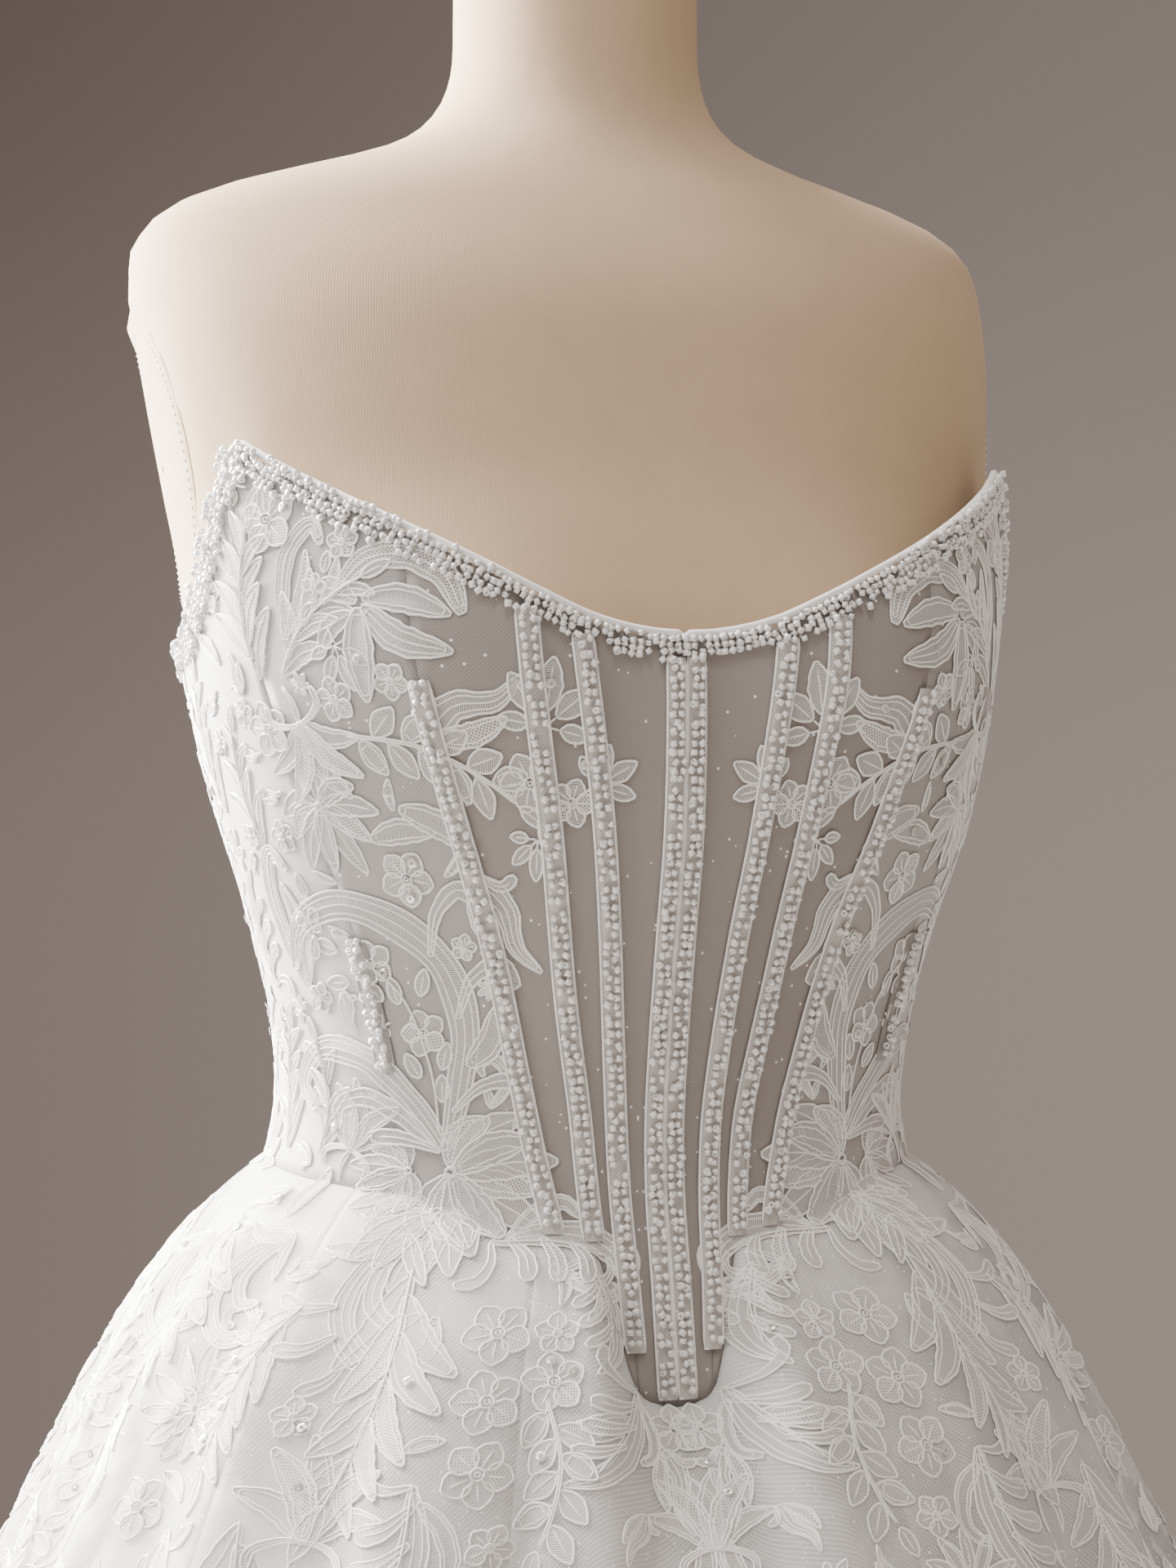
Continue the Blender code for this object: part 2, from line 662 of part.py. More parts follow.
def skirt_columns(per_fold):
    """Angles of a skirt's columns: the bodice's own at the front, where the waist seam dips, and
    elsewhere the angles that cut the folds into equal parts of their wave."""
    front = np.concatenate([panel_grid(number, PANELS[number][1])[0][-1] for number in range(4)])
    front = np.unique(np.round(front, 4))
    front = front[np.concatenate([[True], np.diff(front) > SEAM_MERGE_ANGLE])]
    dense = np.linspace(-math.pi, math.pi, 4001)
    parts = np.arange(-FOLD_COUNT * per_fold // 2, FOLD_COUNT * per_fold // 2 + 1)
    phase = parts * 2 * math.pi / per_fold
    folds = np.interp(phase, fold_phase(dense), dense)
    folds = folds[np.abs(folds) > front[-1] + SEAM_MERGE_ANGLE]
    return np.sort(np.concatenate([folds, front, -front[front > SEAM_MERGE_ANGLE]]))


def build_skirt():
    """The gores of the opaque under-skirt and the three pieces of the tulle over-skirt."""
    columns = skirt_columns(LINING_COLUMNS_PER_FOLD)
    centre_seam = LINING_SEAMS[0]
    satin(skirt_piece("lining_centre_front", lining_point, -centre_seam, centre_seam, columns, SKIRT_ROWS, WALL))
    for name, start, end in zip(LINING_NAMES, LINING_SEAMS[:-1], LINING_SEAMS[1:]):
        satin(skirt_piece(f"lining_{name}_left", lining_point, start, end, columns, SKIRT_ROWS, WALL))
        satin(skirt_piece(f"lining_{name}_right", lining_point, -end, -start, columns, SKIRT_ROWS, WALL))
    columns = skirt_columns(COLUMNS_PER_FOLD)
    side = TULLE_SIDE_SEAM
    tulle(skirt_piece("tulle_front", tulle_point, -side, side, columns, SKIRT_ROWS, WALL))
    tulle(skirt_piece("tulle_back_left", tulle_point, side, math.pi, columns, SKIRT_ROWS, WALL))
    tulle(skirt_piece("tulle_back_right", tulle_point, -math.pi, -side, columns, SKIRT_ROWS, WALL))


def ring_solid(name, rings):
    """A closed solid lofted through rings of points, with a flat face at each end."""
    count, steps = rings.shape[:2]
    last_ring = range((count - 1) * steps, count * steps)
    faces = ring_faces(count, steps) + [tuple(reversed(last_ring))]
    item = add_mesh(name, rings.reshape(-1, 3), faces)
    turn_faces_out(item)
    shade(item)
    return item


def turned(name, profile, location):
    """A solid of revolution: a profile from the top centre out and down, with a Screw modifier."""
    item = add_mesh(name, [(radius, 0.0, height) for radius, height in profile], [])
    item.data.edges.add(len(profile) - 1)
    for number, edge in enumerate(item.data.edges):
        edge.vertices = (number, number + 1)
    item.location = location
    screw = item.modifiers.new("turn", "SCREW")
    screw.steps = TURNED_STEPS
    screw.render_steps = TURNED_STEPS
    screw.use_merge_vertices = True
    screw.merge_threshold = 0.00001
    screw.use_smooth_shade = True
    return item


def build_form():
    """The jersey torso, its neck cap and arm plates, and the board that closes it below."""
    angle = np.linspace(0.0, 2 * math.pi, FORM_COLUMNS + 1)[:-1]
    angle = np.where(angle > math.pi, angle - 2 * math.pi, angle)
    jersey(ring_solid("form_torso", form_point(angle[None, :], FORM_SECTIONS["height"][:, None])))

    board_heights = np.array([BOARD_Z - SEAM_GAP - BOARD_THICKNESS, BOARD_Z - SEAM_GAP])
    board = form_point(angle[None, :], np.full((2, 1), BOARD_Z), -BOARD_INSET)
    board[..., 2] = board_heights[:, None]
    finish(ring_solid("form_board", board), (0.30, 0.22, 0.14), 0.6)

    profile = [(CAP_RADIUS * reach, CAP_HEIGHT * rise) for reach, rise in CAP_PROFILE]
    neck_centre = FORM_SECTIONS["centre_y"][-1]
    jersey(turned("form_neck_cap", profile, (0.0, neck_centre, NECK_TOP_Z + SEAM_GAP)))

    for side, side_name in ((1, "left"), (-1, "right")):
        build_arm_plate(side, side_name)


def build_arm_plate(side, side_name):
    """The oval plate that closes an armhole, laid on the side of the torso."""
    turn = np.linspace(0.0, 2 * math.pi, ARM_PLATE_STEPS + 1)[:-1]
    reach = np.array(ARM_PLATE_RINGS)[:, None]
    height = ARM_PLATE_Z + ARM_PLATE_HALF_HEIGHT * reach * np.sin(turn)
    width = FORM_SECTIONS["half_width"].max()
    angle = math.pi / 2 + ARM_PLATE_HALF_DEPTH / width * reach * np.cos(turn)
    grid = form_point(side * angle, height, LIFT)
    jersey(disc_on(f"form_arm_plate_{side_name}", grid, ARM_PLATE_WALL))


def build_stand():
    """The round base with its hub, and the pole."""
    profile = (
        (0.0, HUB_TOP_Z),
        (HUB_RADIUS - 2 * HUB_EDGE, HUB_TOP_Z),
        (HUB_RADIUS - HUB_EDGE, HUB_TOP_Z - HUB_EDGE),
        (HUB_RADIUS, HUB_TOP_Z / 2),
        (BASE_RADIUS - BASE_THICKNESS, BASE_THICKNESS),
        (BASE_RADIUS - BASE_THICKNESS / 4, BASE_THICKNESS * 0.8),
        (BASE_RADIUS, BASE_THICKNESS / 2),
        (BASE_RADIUS, 0.0),
        (0.0, 0.0),
    )
    steel(turned("stand_base", profile, (0.0, 0.0, 0.0)))
    low = HUB_TOP_Z + SEAM_GAP
    high = BOARD_Z - BOARD_THICKNESS - 2 * SEAM_GAP
    bpy.ops.mesh.primitive_cylinder_add(
        vertices=TURNED_STEPS, radius=POLE_RADIUS, depth=high - low, location=(0.0, 0.0, (low + high) / 2)
    )
    pole = bpy.context.object
    pole.name = "stand_pole"
    into_collection(pole, COLLECTION)
    shade(pole)
    steel(pole)


def into_collection(item, name):
    """Move an object into one collection."""
    for collection in list(item.users_collection):
        collection.objects.unlink(item)
    bpy.data.collections[name].objects.link(item)


def block(name, size, location, collection):
    """A box with its scale applied."""
    bpy.ops.mesh.primitive_cube_add(size=1.0, location=location)
    item = bpy.context.object
    item.name = name
    item.data.name = name
    for vertex in item.data.vertices:
        vertex.co = [value * length for value, length in zip(vertex.co, size)]
    into_collection(item, collection)
    return item


def combine(item, cutter, operation):
    """Join a helper to an object, or cut the object with it."""
    cutter.hide_render = True
    cutter.display_type = "WIRE"
    boolean = item.modifiers.new(cutter.name, "BOOLEAN")
    boolean.operation = operation
    boolean.object = cutter


def build_zip():
    """The slider of the concealed zip, tilted to the wall, and the pull tab hung on its bridge."""
    half_length = SLIDER_SIZE[2] / 2
    reach = np.array([-half_length, 0.0, half_length])
    wall_y = bodice_point(np.full(3, math.pi), ZIP_PULL_Z + reach)[:, 1]
    tilt = math.atan2(wall_y[0] - wall_y[2], SLIDER_SIZE[2])
    anchor = bpy.data.objects.new("zip_anchor", None)
    anchor.location = (0.0, float(wall_y[1]), ZIP_PULL_Z)
    anchor.rotation_euler = (tilt, 0.0, 0.0)
    bpy.data.collections[COLLECTION].objects.link(anchor)
    face_y = LIFT + SLIDER_SIZE[1]
    axis_y = face_y + BRIDGE_WINDOW[1] / 2
    bridge_y = face_y + BRIDGE_SIZE[1] / 2 - BRIDGE_ROOT
    slider = block("zip_slider", SLIDER_SIZE, (0.0, face_y - SLIDER_SIZE[1] / 2, 0.0), COLLECTION)
    bridge = block("slider_bridge", BRIDGE_SIZE, (0.0, bridge_y, 0.0), HELPERS)
    window = block("slider_window", BRIDGE_WINDOW, (0.0, axis_y, 0.0), HELPERS)
    for item in (slider, bridge, window):
        item.parent = anchor
    bevel = slider.modifiers.new("edge", "BEVEL")
    bevel.width = SLIDER_BEVEL
    bevel.segments = 2
    combine(slider, bridge, "UNION")
    combine(slider, window, "DIFFERENCE")
    steel(slider)
    axis = (0.0, wall_y[1] + axis_y * math.cos(tilt), ZIP_PULL_Z + axis_y * math.sin(tilt))
    build_pull(axis)


def build_pull(hinge):
    """The pull tab: a flat outline with an eye, its origin on the hinge's axis."""
    half = PULL_WIDTH / 2
    end = -PULL_LENGTH + half
    turn = np.linspace(0.0, -math.pi, 9)
    outline = [(-half * 0.8, PULL_BAR / 2), (half * 0.8, PULL_BAR / 2)]
    outline += [(half * math.cos(step), end + half * math.sin(step)) for step in turn]
    eye_top = -PULL_BAR / 2
    eye_low = eye_top - PULL_EYE_LENGTH
    eye_half = PULL_EYE_WIDTH / 2
    eye = [(-eye_half, eye_top), (-eye_half, eye_low), (eye_half, eye_low), (eye_half, eye_top)]
    curve = bpy.data.curves.new("zip_pull", "CURVE")
    curve.dimensions = "2D"
    curve.fill_mode = "BOTH"
    curve.extrude = PULL_WALL / 2
    for loop in (outline, eye):
        line = curve.splines.new("POLY")
        line.use_cyclic_u = True
        line.points.add(len(loop) - 1)
        for point, place in zip(line.points, loop):
            point.co = (*place, 0.0, 1.0)
    pull = bpy.data.objects.new("zip_pull", curve)
    pull.rotation_euler = (math.pi / 2, 0.0, 0.0)
    pull.location = hinge
    bpy.data.collections[COLLECTION].objects.link(pull)
    steel(pull)


def clear_scene():
    """Start from an empty scene with the two collections."""
    for item in list(bpy.data.objects):
        bpy.data.objects.remove(item)
    for name in (COLLECTION, HELPERS):
        collection = bpy.data.collections.new(name)
        bpy.context.scene.collection.children.link(collection)


def main():
    """Build the form, the stand and the gown."""
    clear_scene()
    build_stand()
    build_form()
    for side, side_name in ((1, "left"), (-1, "right")):
        top_edge = build_bodice(side, side_name)
        build_binding(top_edge, side_name)
        build_channels(side, side_name)
        build_lace(side, side_name)
    build_skirt()
    build_zip()


if __name__ == "__main__":
    main()
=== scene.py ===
import json
import logging
import math
from collections.abc import Callable, Sequence
from dataclasses import dataclass, field
from enum import Enum
from functools import partial

import bpy
import numpy as np
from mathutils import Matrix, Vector


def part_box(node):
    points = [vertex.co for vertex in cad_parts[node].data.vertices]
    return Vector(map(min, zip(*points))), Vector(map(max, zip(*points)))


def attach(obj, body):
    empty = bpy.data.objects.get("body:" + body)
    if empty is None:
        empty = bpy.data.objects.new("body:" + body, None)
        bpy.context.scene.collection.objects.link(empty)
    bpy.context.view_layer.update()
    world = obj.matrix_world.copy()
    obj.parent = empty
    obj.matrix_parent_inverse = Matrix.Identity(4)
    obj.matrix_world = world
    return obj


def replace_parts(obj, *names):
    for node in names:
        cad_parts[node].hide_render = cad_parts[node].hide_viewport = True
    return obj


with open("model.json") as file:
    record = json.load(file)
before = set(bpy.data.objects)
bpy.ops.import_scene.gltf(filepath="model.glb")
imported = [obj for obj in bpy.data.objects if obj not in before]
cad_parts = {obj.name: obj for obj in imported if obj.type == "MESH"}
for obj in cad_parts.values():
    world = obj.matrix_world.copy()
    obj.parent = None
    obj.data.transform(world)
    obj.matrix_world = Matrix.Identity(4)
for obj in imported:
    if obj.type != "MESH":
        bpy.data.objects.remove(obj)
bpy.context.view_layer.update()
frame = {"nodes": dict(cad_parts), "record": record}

LOG = logging.getLogger("gown")
BODY = "gown_and_form"
Array = np.ndarray
MM = 0.001
FULL_TURN = 2 * math.pi
# Typical radii of the bodice, of its panels and of the waist, which turn a length into an angle
BODICE_RADIUS = 0.14
PANEL_RADIUS = 0.13
WAIST_RADIUS = 0.115


class Side(Enum):
    """A side of the wearer; the value is the sign of its X."""

    LEFT = 1
    RIGHT = -1

    @property
    def word(self) -> str:
        """The side's name in the nodes' names."""
        return self.name.lower()


class Fill(Enum):
    """What fills a lace shape; the value is its place among the lace's materials."""

    SATIN = 0
    NET = 1
    CORD = 2


# The shape of the form and the gown


def cubic(knots: Array, value: Array, place: Array) -> Array:
    """A cubic curve through the values at the knots, read at the given places."""
    row = np.clip(np.searchsorted(knots, place) - 1, 0, len(knots) - 2)
    step = knots[row + 1] - knots[row]
    share = np.clip((place - knots[row]) / step, 0.0, 1.0)
    slope = np.gradient(value, knots)
    start = (1 + 2 * share) * (1 - share) ** 2 * value[row]
    end = share**2 * (3 - 2 * share) * value[row + 1]
    leave = share * (1 - share) ** 2 * step * slope[row]
    arrive = share**2 * (share - 1) * step * slope[row + 1]
    return start + end + leave + arrive


@dataclass(frozen=True)
class Sections:
    """A table of sections. Its first column is where each row stands.

    Args:
        names: the columns' names.
        rows: the rows, in rising order of the first column.
    """

    names: str
    rows: tuple[tuple[float, ...], ...]

    def at(self, place: Array) -> dict[str, Array]:
        """Read every column at the given places, as a cubic curve through its rows.

        Args:
            place: where to read.

        Returns:
            The value of each column.
        """
        knots, *values = np.array(self.rows).T
        return {name: cubic(knots, value, place) for name, value in zip(self.names.split()[1:], values)}


FORM_SECTIONS = Sections(
    "height half_width front back centre_y square",
    (
        (0.800, 0.1560, 0.110, 0.124, 0.000, 2.2),
        (0.850, 0.1610, 0.117, 0.128, 0.000, 2.2),
        (0.900, 0.1580, 0.119, 0.124, 0.000, 2.2),
        (0.950, 0.1490, 0.116, 0.114, 0.000, 2.2),
        (1.000, 0.1350, 0.106, 0.100, 0.000, 2.1),
        (1.036, 0.1258, 0.098, 0.0905, 0.000, 2.1),
        (1.060, 0.1226, 0.0945, 0.0875, -0.003, 2.1),
        (1.087, 0.1243, 0.096, 0.0875, -0.006, 2.1),
        (1.130, 0.1337, 0.101, 0.0935, -0.011, 2.1),
        (1.166, 0.1443, 0.108, 0.1005, -0.013, 2.2),
        (1.199, 0.1532, 0.114, 0.1075, -0.010, 2.2),
        (1.235, 0.1585, 0.117, 0.1145, -0.005, 2.3),
        (1.270, 0.1605, 0.115, 0.1090, 0.005, 2.4),
        (1.300, 0.1650, 0.112, 0.106, 0.014, 2.5),
        (1.340, 0.1715, 0.111, 0.096, 0.024, 2.5),
        (1.370, 0.1760, 0.110, 0.088, 0.031, 2.4),
        (1.390, 0.1780, 0.106, 0.079, 0.036, 2.3),
        (1.406, 0.1765, 0.100, 0.070, 0.039, 2.2),
        (1.418, 0.1640, 0.094, 0.063, 0.040, 2.2),
        (1.427, 0.1390, 0.088, 0.058, 0.040, 2.1),
        (1.435, 0.1050, 0.082, 0.055, 0.038, 2.1),
        (1.443, 0.0800, 0.075, 0.053, 0.035, 2.0),
        (1.452, 0.0650, 0.067, 0.053, 0.030, 2.0),
        (1.462, 0.0560, 0.060, 0.054, 0.025, 2.0),
        (1.474, 0.0515, 0.055, 0.055, 0.021, 2.0),
        (1.500, 0.0500, 0.054, 0.054, 0.020, 2.0),
        (1.532, 0.0500, 0.054, 0.054, 0.020, 2.0),
    ),
)

GOWN_SECTIONS = Sections(
    "height half_width front back centre_y square",
    (
        (0.950, 0.1525, 0.1195, 0.1175, 0.000, 2.2),
        (1.000, 0.1385, 0.1095, 0.1035, 0.000, 2.1),
        (1.036, 0.1300, 0.1015, 0.0955, 0.000, 2.1),
        (1.060, 0.1262, 0.0980, 0.0925, -0.003, 2.1),
        (1.087, 0.1277, 0.0993, 0.0924, -0.006, 2.1),
        (1.130, 0.1372, 0.1044, 0.0984, -0.011, 2.1),
        (1.166, 0.1482, 0.1114, 0.1054, -0.013, 2.2),
        (1.199, 0.1572, 0.1174, 0.1124, -0.010, 2.2),
        (1.235, 0.1632, 0.1214, 0.1194, -0.005, 2.3),
        (1.270, 0.1662, 0.1195, 0.1228, -0.002, 2.4),
        (1.320, 0.1672, 0.1145, 0.1245, 0.000, 2.4),
    ),
)

TOP_EDGE = Sections(
    "degrees height",
    (
        (0.0, 1.2358),
        (6.0, 1.2366),
        (17.0, 1.2425),
        (24.0, 1.2502),
        (34.0, 1.2630),
        (44.0, 1.2756),
        (54.0, 1.2882),
        (62.0, 1.2988),
        (66.0, 1.3045),
        (68.6, 1.3070),
        (70.2, 1.3020),
        (71.6, 1.2920),
        (75.4, 1.2690),
        (83.5, 1.2430),
        (95.0, 1.2370),
        (180.0, 1.2360),
    ),
)

WAIST_SEAM = Sections(
    "degrees height",
    (
        (0.0, 0.9590),
        (3.0, 0.9600),
        (7.4, 0.9660),
        (13.8, 1.0110),
        (20.0, 1.0170),
        (31.0, 1.0215),
        (51.0, 1.0320),
        (75.0, 1.0365),
        (180.0, 1.0370),
    ),
)

PANEL_SEAMS = Sections(
    "height first second third fourth",
    (
        (0.950, 6.4, 10.5, 16.0, 47.0),
        (1.020, 9.0, 15.0, 22.5, 52.0),
        (1.060, 10.6, 18.0, 28.5, 54.5),
        (1.110, 12.6, 22.0, 33.8, 58.5),
        (1.170, 15.0, 24.2, 39.0, 62.5),
        (1.240, 17.7, 25.6, 41.0, 66.5),
        (1.320, 20.5, 27.5, 44.0, 69.8),
    ),
)

# Creases of the over-skirt: angle, where it starts and ends down the skirt, half width, depth, lean
CREASES = (
    (-8.0, 0.05, 0.75, 0.012, -0.0040, 2.0),
    (-23.0, 0.04, 1.02, 0.009, -0.0100, -2.0),
    (-29.0, 0.10, 0.90, 0.010, 0.0060, -3.0),
    (-43.0, 0.05, 0.60, 0.011, -0.0060, 1.0),
    (-58.0, 0.14, 1.02, 0.014, -0.0050, -3.0),
    (-71.0, 0.03, 0.45, 0.009, -0.0045, 2.0),
    (-88.0, 0.10, 0.95, 0.013, -0.0060, 3.0),
    (-104.0, 0.04, 0.55, 0.010, -0.0050, -2.0),
    (-121.0, 0.09, 1.02, 0.015, -0.0065, 2.0),
    (-139.0, 0.03, 0.70, 0.010, -0.0050, -3.0),
    (-158.0, 0.07, 1.00, 0.013, -0.0060, 1.0),
    (-172.0, 0.03, 0.50, 0.009, -0.0040, 2.0),
    (12.0, 0.06, 0.95, 0.011, -0.0045, -1.0),
    (31.0, 0.04, 1.02, 0.010, -0.0065, 2.0),
    (37.0, 0.12, 0.80, 0.011, 0.0040, 3.0),
    (45.0, 0.05, 0.95, 0.011, -0.0080, 1.0),
    (66.0, 0.16, 1.02, 0.013, -0.0055, 2.0),
    (82.0, 0.04, 0.50, 0.010, -0.0050, -1.0),
    (97.0, 0.08, 1.00, 0.014, -0.0060, -3.0),
    (114.0, 0.03, 0.60, 0.010, -0.0045, 2.0),
    (131.0, 0.12, 1.02, 0.014, -0.0065, 3.0),
    (149.0, 0.04, 0.75, 0.011, -0.0050, -2.0),
    (167.0, 0.08, 1.00, 0.012, -0.0055, 1.0),
)


@dataclass(frozen=True)
class GownShape:
    """The surfaces of the dress form and the gown, as functions of angle and height.

    An angle of 0 is the centre front, and it grows towards the wearer's left.
    """

    bust_height: float = 1.228
    bust_projection: float = 0.011
    bust_angle: float = math.radians(38.0)
    bust_angle_reach: float = math.radians(19.0)
    bust_reach: float = 0.042
    bodice_cup_rise: float = 0.075
    flare: float = 0.430
    spring: float = 0.024
    spring_reach: float = 0.035
    fold_count: int = 17
    fold_bunching: float = 4.5
    fold_near: float = 0.006
    fold_growth: float = 0.012
    fold_reach: float = 0.090
    lining_fold_share: float = 0.5
    standoff: float = 0.010
    standoff_reach: float = 0.045
    wall: float = 0.0015
    seam_gap: float = 0.0001
    waist_gap: float = 0.0001
    veil_reach: float = 0.004
    hem_height: float = 0.010

    def outline(self, table: Sections, angle: Array, height: Array, cup_rise: float) -> tuple[Array, Array]:
        """Radius of the oval outline: a superellipse plus a rounded bump for each cup.

        Args:
            table: the sections.
            angle: angles from the centre front.
            height: heights above the floor.
            cup_rise: how far the cups fade upwards.

        Returns:
            The radius, and the Y of the outline's centre.
        """
        row = table.at(height)
        cosine = np.cos(angle)
        depth = np.where(cosine > 0, row["front"], row["back"])
        terms = (np.abs(np.sin(angle)) / row["half_width"]) ** row["square"]
        terms = terms + np.abs(cosine / depth) ** row["square"]
        rise = height - self.bust_height
        reach = np.where(rise > 0, cup_rise, self.bust_reach)
        across = (np.abs(angle) - self.bust_angle) / self.bust_angle_reach
        cup = self.bust_projection * np.exp(-(across**2) - (rise / reach) ** 2)
        return terms ** (-1.0 / row["square"]) + cup, row["centre_y"]

    def gown_outline(self, angle: Array, height: Array) -> tuple[Array, Array]:
        """The radius and the centre's Y of the gown's outline."""
        return self.outline(GOWN_SECTIONS, angle, height, self.bodice_cup_rise)

    @staticmethod
    def placed(angle: Array, height: Array, radius: Array, centre_y: Array) -> Array:
        """Points at the given angles, heights and radii about the upright line at centre_y."""
        angle, height, radius, centre_y = np.broadcast_arrays(angle, height, radius, centre_y)
        return np.stack([radius * np.sin(angle), centre_y - radius * np.cos(angle), height], axis=-1)

    def form(self, angle: Array, height: Array, out: Array | float = 0.0) -> Array:
        """Points on the torso, moved outwards."""
        radius, centre_y = self.outline(FORM_SECTIONS, angle, height, self.bust_reach)
        return self.placed(angle, height, radius + out, centre_y)

    def bodice(self, angle: Array, height: Array, out: Array | float = 0.0) -> Array:
        """Points on the outer face of the bodice, moved outwards."""
        radius, centre_y = self.gown_outline(angle, height)
        return self.placed(angle, height, radius + out, centre_y)

    @staticmethod
    def edge(table: Sections, angle: Array) -> Array:
        """Height of an edge at the given angles, the same on both sides."""
        return table.at(np.degrees(np.abs(angle)))["height"]

    def waist_top(self, angle: Array) -> Array:
        """Height of the skirt's own top edge, a gap under the waist seam, square to the seam."""
        seam = self.edge(WAIST_SEAM, angle)
        radius, _ = self.gown_outline(angle, seam)
        step = math.radians(0.5)
        rise = self.edge(WAIST_SEAM, angle + step) - self.edge(WAIST_SEAM, angle - step)
        return seam - self.waist_gap * np.hypot(1.0, rise / (2 * step * radius))

    def skirt(
        self, angle: Array, drop: Array, fold_share: float, standoff: float, out: Array | float
    ) -> Array:
        """Points of the skirt: an even flare, the spring of the gathers, and the folds' waves.

        Args:
            angle: angles from the centre front.
            drop: how far below the waist seam.
            fold_share: how much of the folds' depth this layer has.
            standoff: how far it stands off the under-skirt.
            out: how far the points are moved outwards.

        Returns:
            The points.
        """
        seam = self.edge(WAIST_SEAM, angle)
        radius, centre_y = self.gown_outline(angle, seam)
        top = self.waist_top(angle)
        spread = self.flare * drop + self.spring * (1 - np.exp(-drop / self.spring_reach))
        depth = self.fold_near * (1 - np.exp(-drop / self.fold_reach)) + self.fold_growth * drop
        phase = self.fold_count * angle - self.fold_bunching * np.sin(2 * angle)
        fold = fold_share * depth * (0.8 + 0.2 * np.cos(3 * angle + 0.8)) * np.cos(phase)
        clear = standoff * (1 - np.exp(-drop / self.standoff_reach))
        return self.placed(angle, top - drop, radius + spread + fold + clear + out, centre_y)

    def creases(self, angle: Array, drop: Array) -> Array:
        """Depth of the listed creases: a bell across each, that swells and dies along it."""
        angle, drop = np.broadcast_arrays(angle, drop)
        total = np.zeros(angle.shape)
        for degrees, start, end, half_width, depth, lean in CREASES:
            middle = math.radians(degrees) + math.radians(lean) * drop
            away = (angle - middle + math.pi) % FULL_TURN - math.pi
            reach = half_width * (0.7 + 0.9 * drop)
            across = away * (0.14 + self.flare * drop) / reach
            along = np.clip((drop - start) / (end - start), 0.0, 1.0)
            total += depth * np.exp(-(across**2)) * np.sin(math.pi * along**0.7)
        return total

    def lining(self, angle: Array, drop: Array, out: Array | float = 0.0) -> Array:
        """Points on the outer face of the under-skirt."""
        return self.skirt(angle, drop, self.lining_fold_share, 0.0, out)

    def tulle(self, angle: Array, drop: Array, out: Array | float = 0.0) -> Array:
        """Points on the outer face of the over-skirt, creases included."""
        crease = self.creases(angle, drop)
        clear = self.wall * (1 - 0.8 * np.exp(-drop / self.veil_reach)) + self.seam_gap
        moved = out + crease + clear
        return self.skirt(angle, drop, 1.0, self.standoff, moved)


@dataclass
class Chart:
    """The gown's outer face as one chart of angle and height, for what is sewn on it.

    Above the waist seam the height is the real one. Below it, the way down the slope of the skirt
    is taken off the seam's height.
    """

    shape: GownShape
    lift: float = 0.0008
    drops: Array = field(init=False)
    slopes: Array = field(init=False)
    levels: Array = field(init=False)
    radii: Array = field(init=False)
    radius_step: float = 5.0
    probe: float = 0.0006

    def __post_init__(self) -> None:
        """Work out the way down the slope at each drop, as the sum of its small steps."""
        self.drops = np.linspace(0.0, 1.1, 4001)
        shape = self.shape
        spread = shape.flare + shape.spring / shape.spring_reach * np.exp(-self.drops / shape.spring_reach)
        steps = np.hypot(1.0, spread[:-1]) * np.diff(self.drops)
        self.slopes = np.concatenate([[0.0], np.cumsum(steps)])
        self.levels = np.linspace(0.68, 1.33, 131)
        around = np.radians(np.arange(0.0, 180.0 + self.radius_step, self.radius_step))
        points = self.bare(around[:, None], self.levels[None, :])
        self.radii = np.hypot(points[..., 0], points[..., 1])

    def bare(self, angle: Array, height: Array) -> Array:
        """Points on the cloth itself."""
        angle, height = np.broadcast_arrays(angle, height)
        seam = self.shape.edge(WAIST_SEAM, angle)
        upper = self.shape.bodice(angle, np.maximum(height, seam))
        drop = np.interp(np.maximum(seam - height, 0.0), self.slopes, self.drops)
        lower = self.shape.tulle(angle, drop)
        return np.where((height >= seam)[..., None], upper, lower)

    def normal(self, angle: Array, height: Array) -> Array:
        """Outward normals: the cross product of small steps round and up."""
        step = self.probe
        turn = step / BODICE_RADIUS
        around = self.bare(angle + turn, height) - self.bare(angle - turn, height)
        up = self.bare(angle, height + step) - self.bare(angle, height - step)
        return unit(np.cross(around, up))

    def place(self, angle: Array, height: Array, out: Array | float) -> tuple[Array, Array]:
        """Points lifted off the cloth along its normals, and the normals.

        Args:
            angle: angles from the centre front.
            height: chart heights.
            out: the distance from the cloth.

        Returns:
            The points and the normals.
        """
        normal = self.normal(angle, height)
        lifted = np.broadcast_to(out, normal.shape[:-1])
        return self.bare(angle, height) + normal * lifted[..., None], normal

    def radius(self, angle: float, height: Array) -> Array:
        """Distance of the cloth from the upright line, at one angle."""
        row = round(math.degrees(angle) / self.radius_step)
        return np.interp(height, self.levels, self.radii[row])


# Meshes


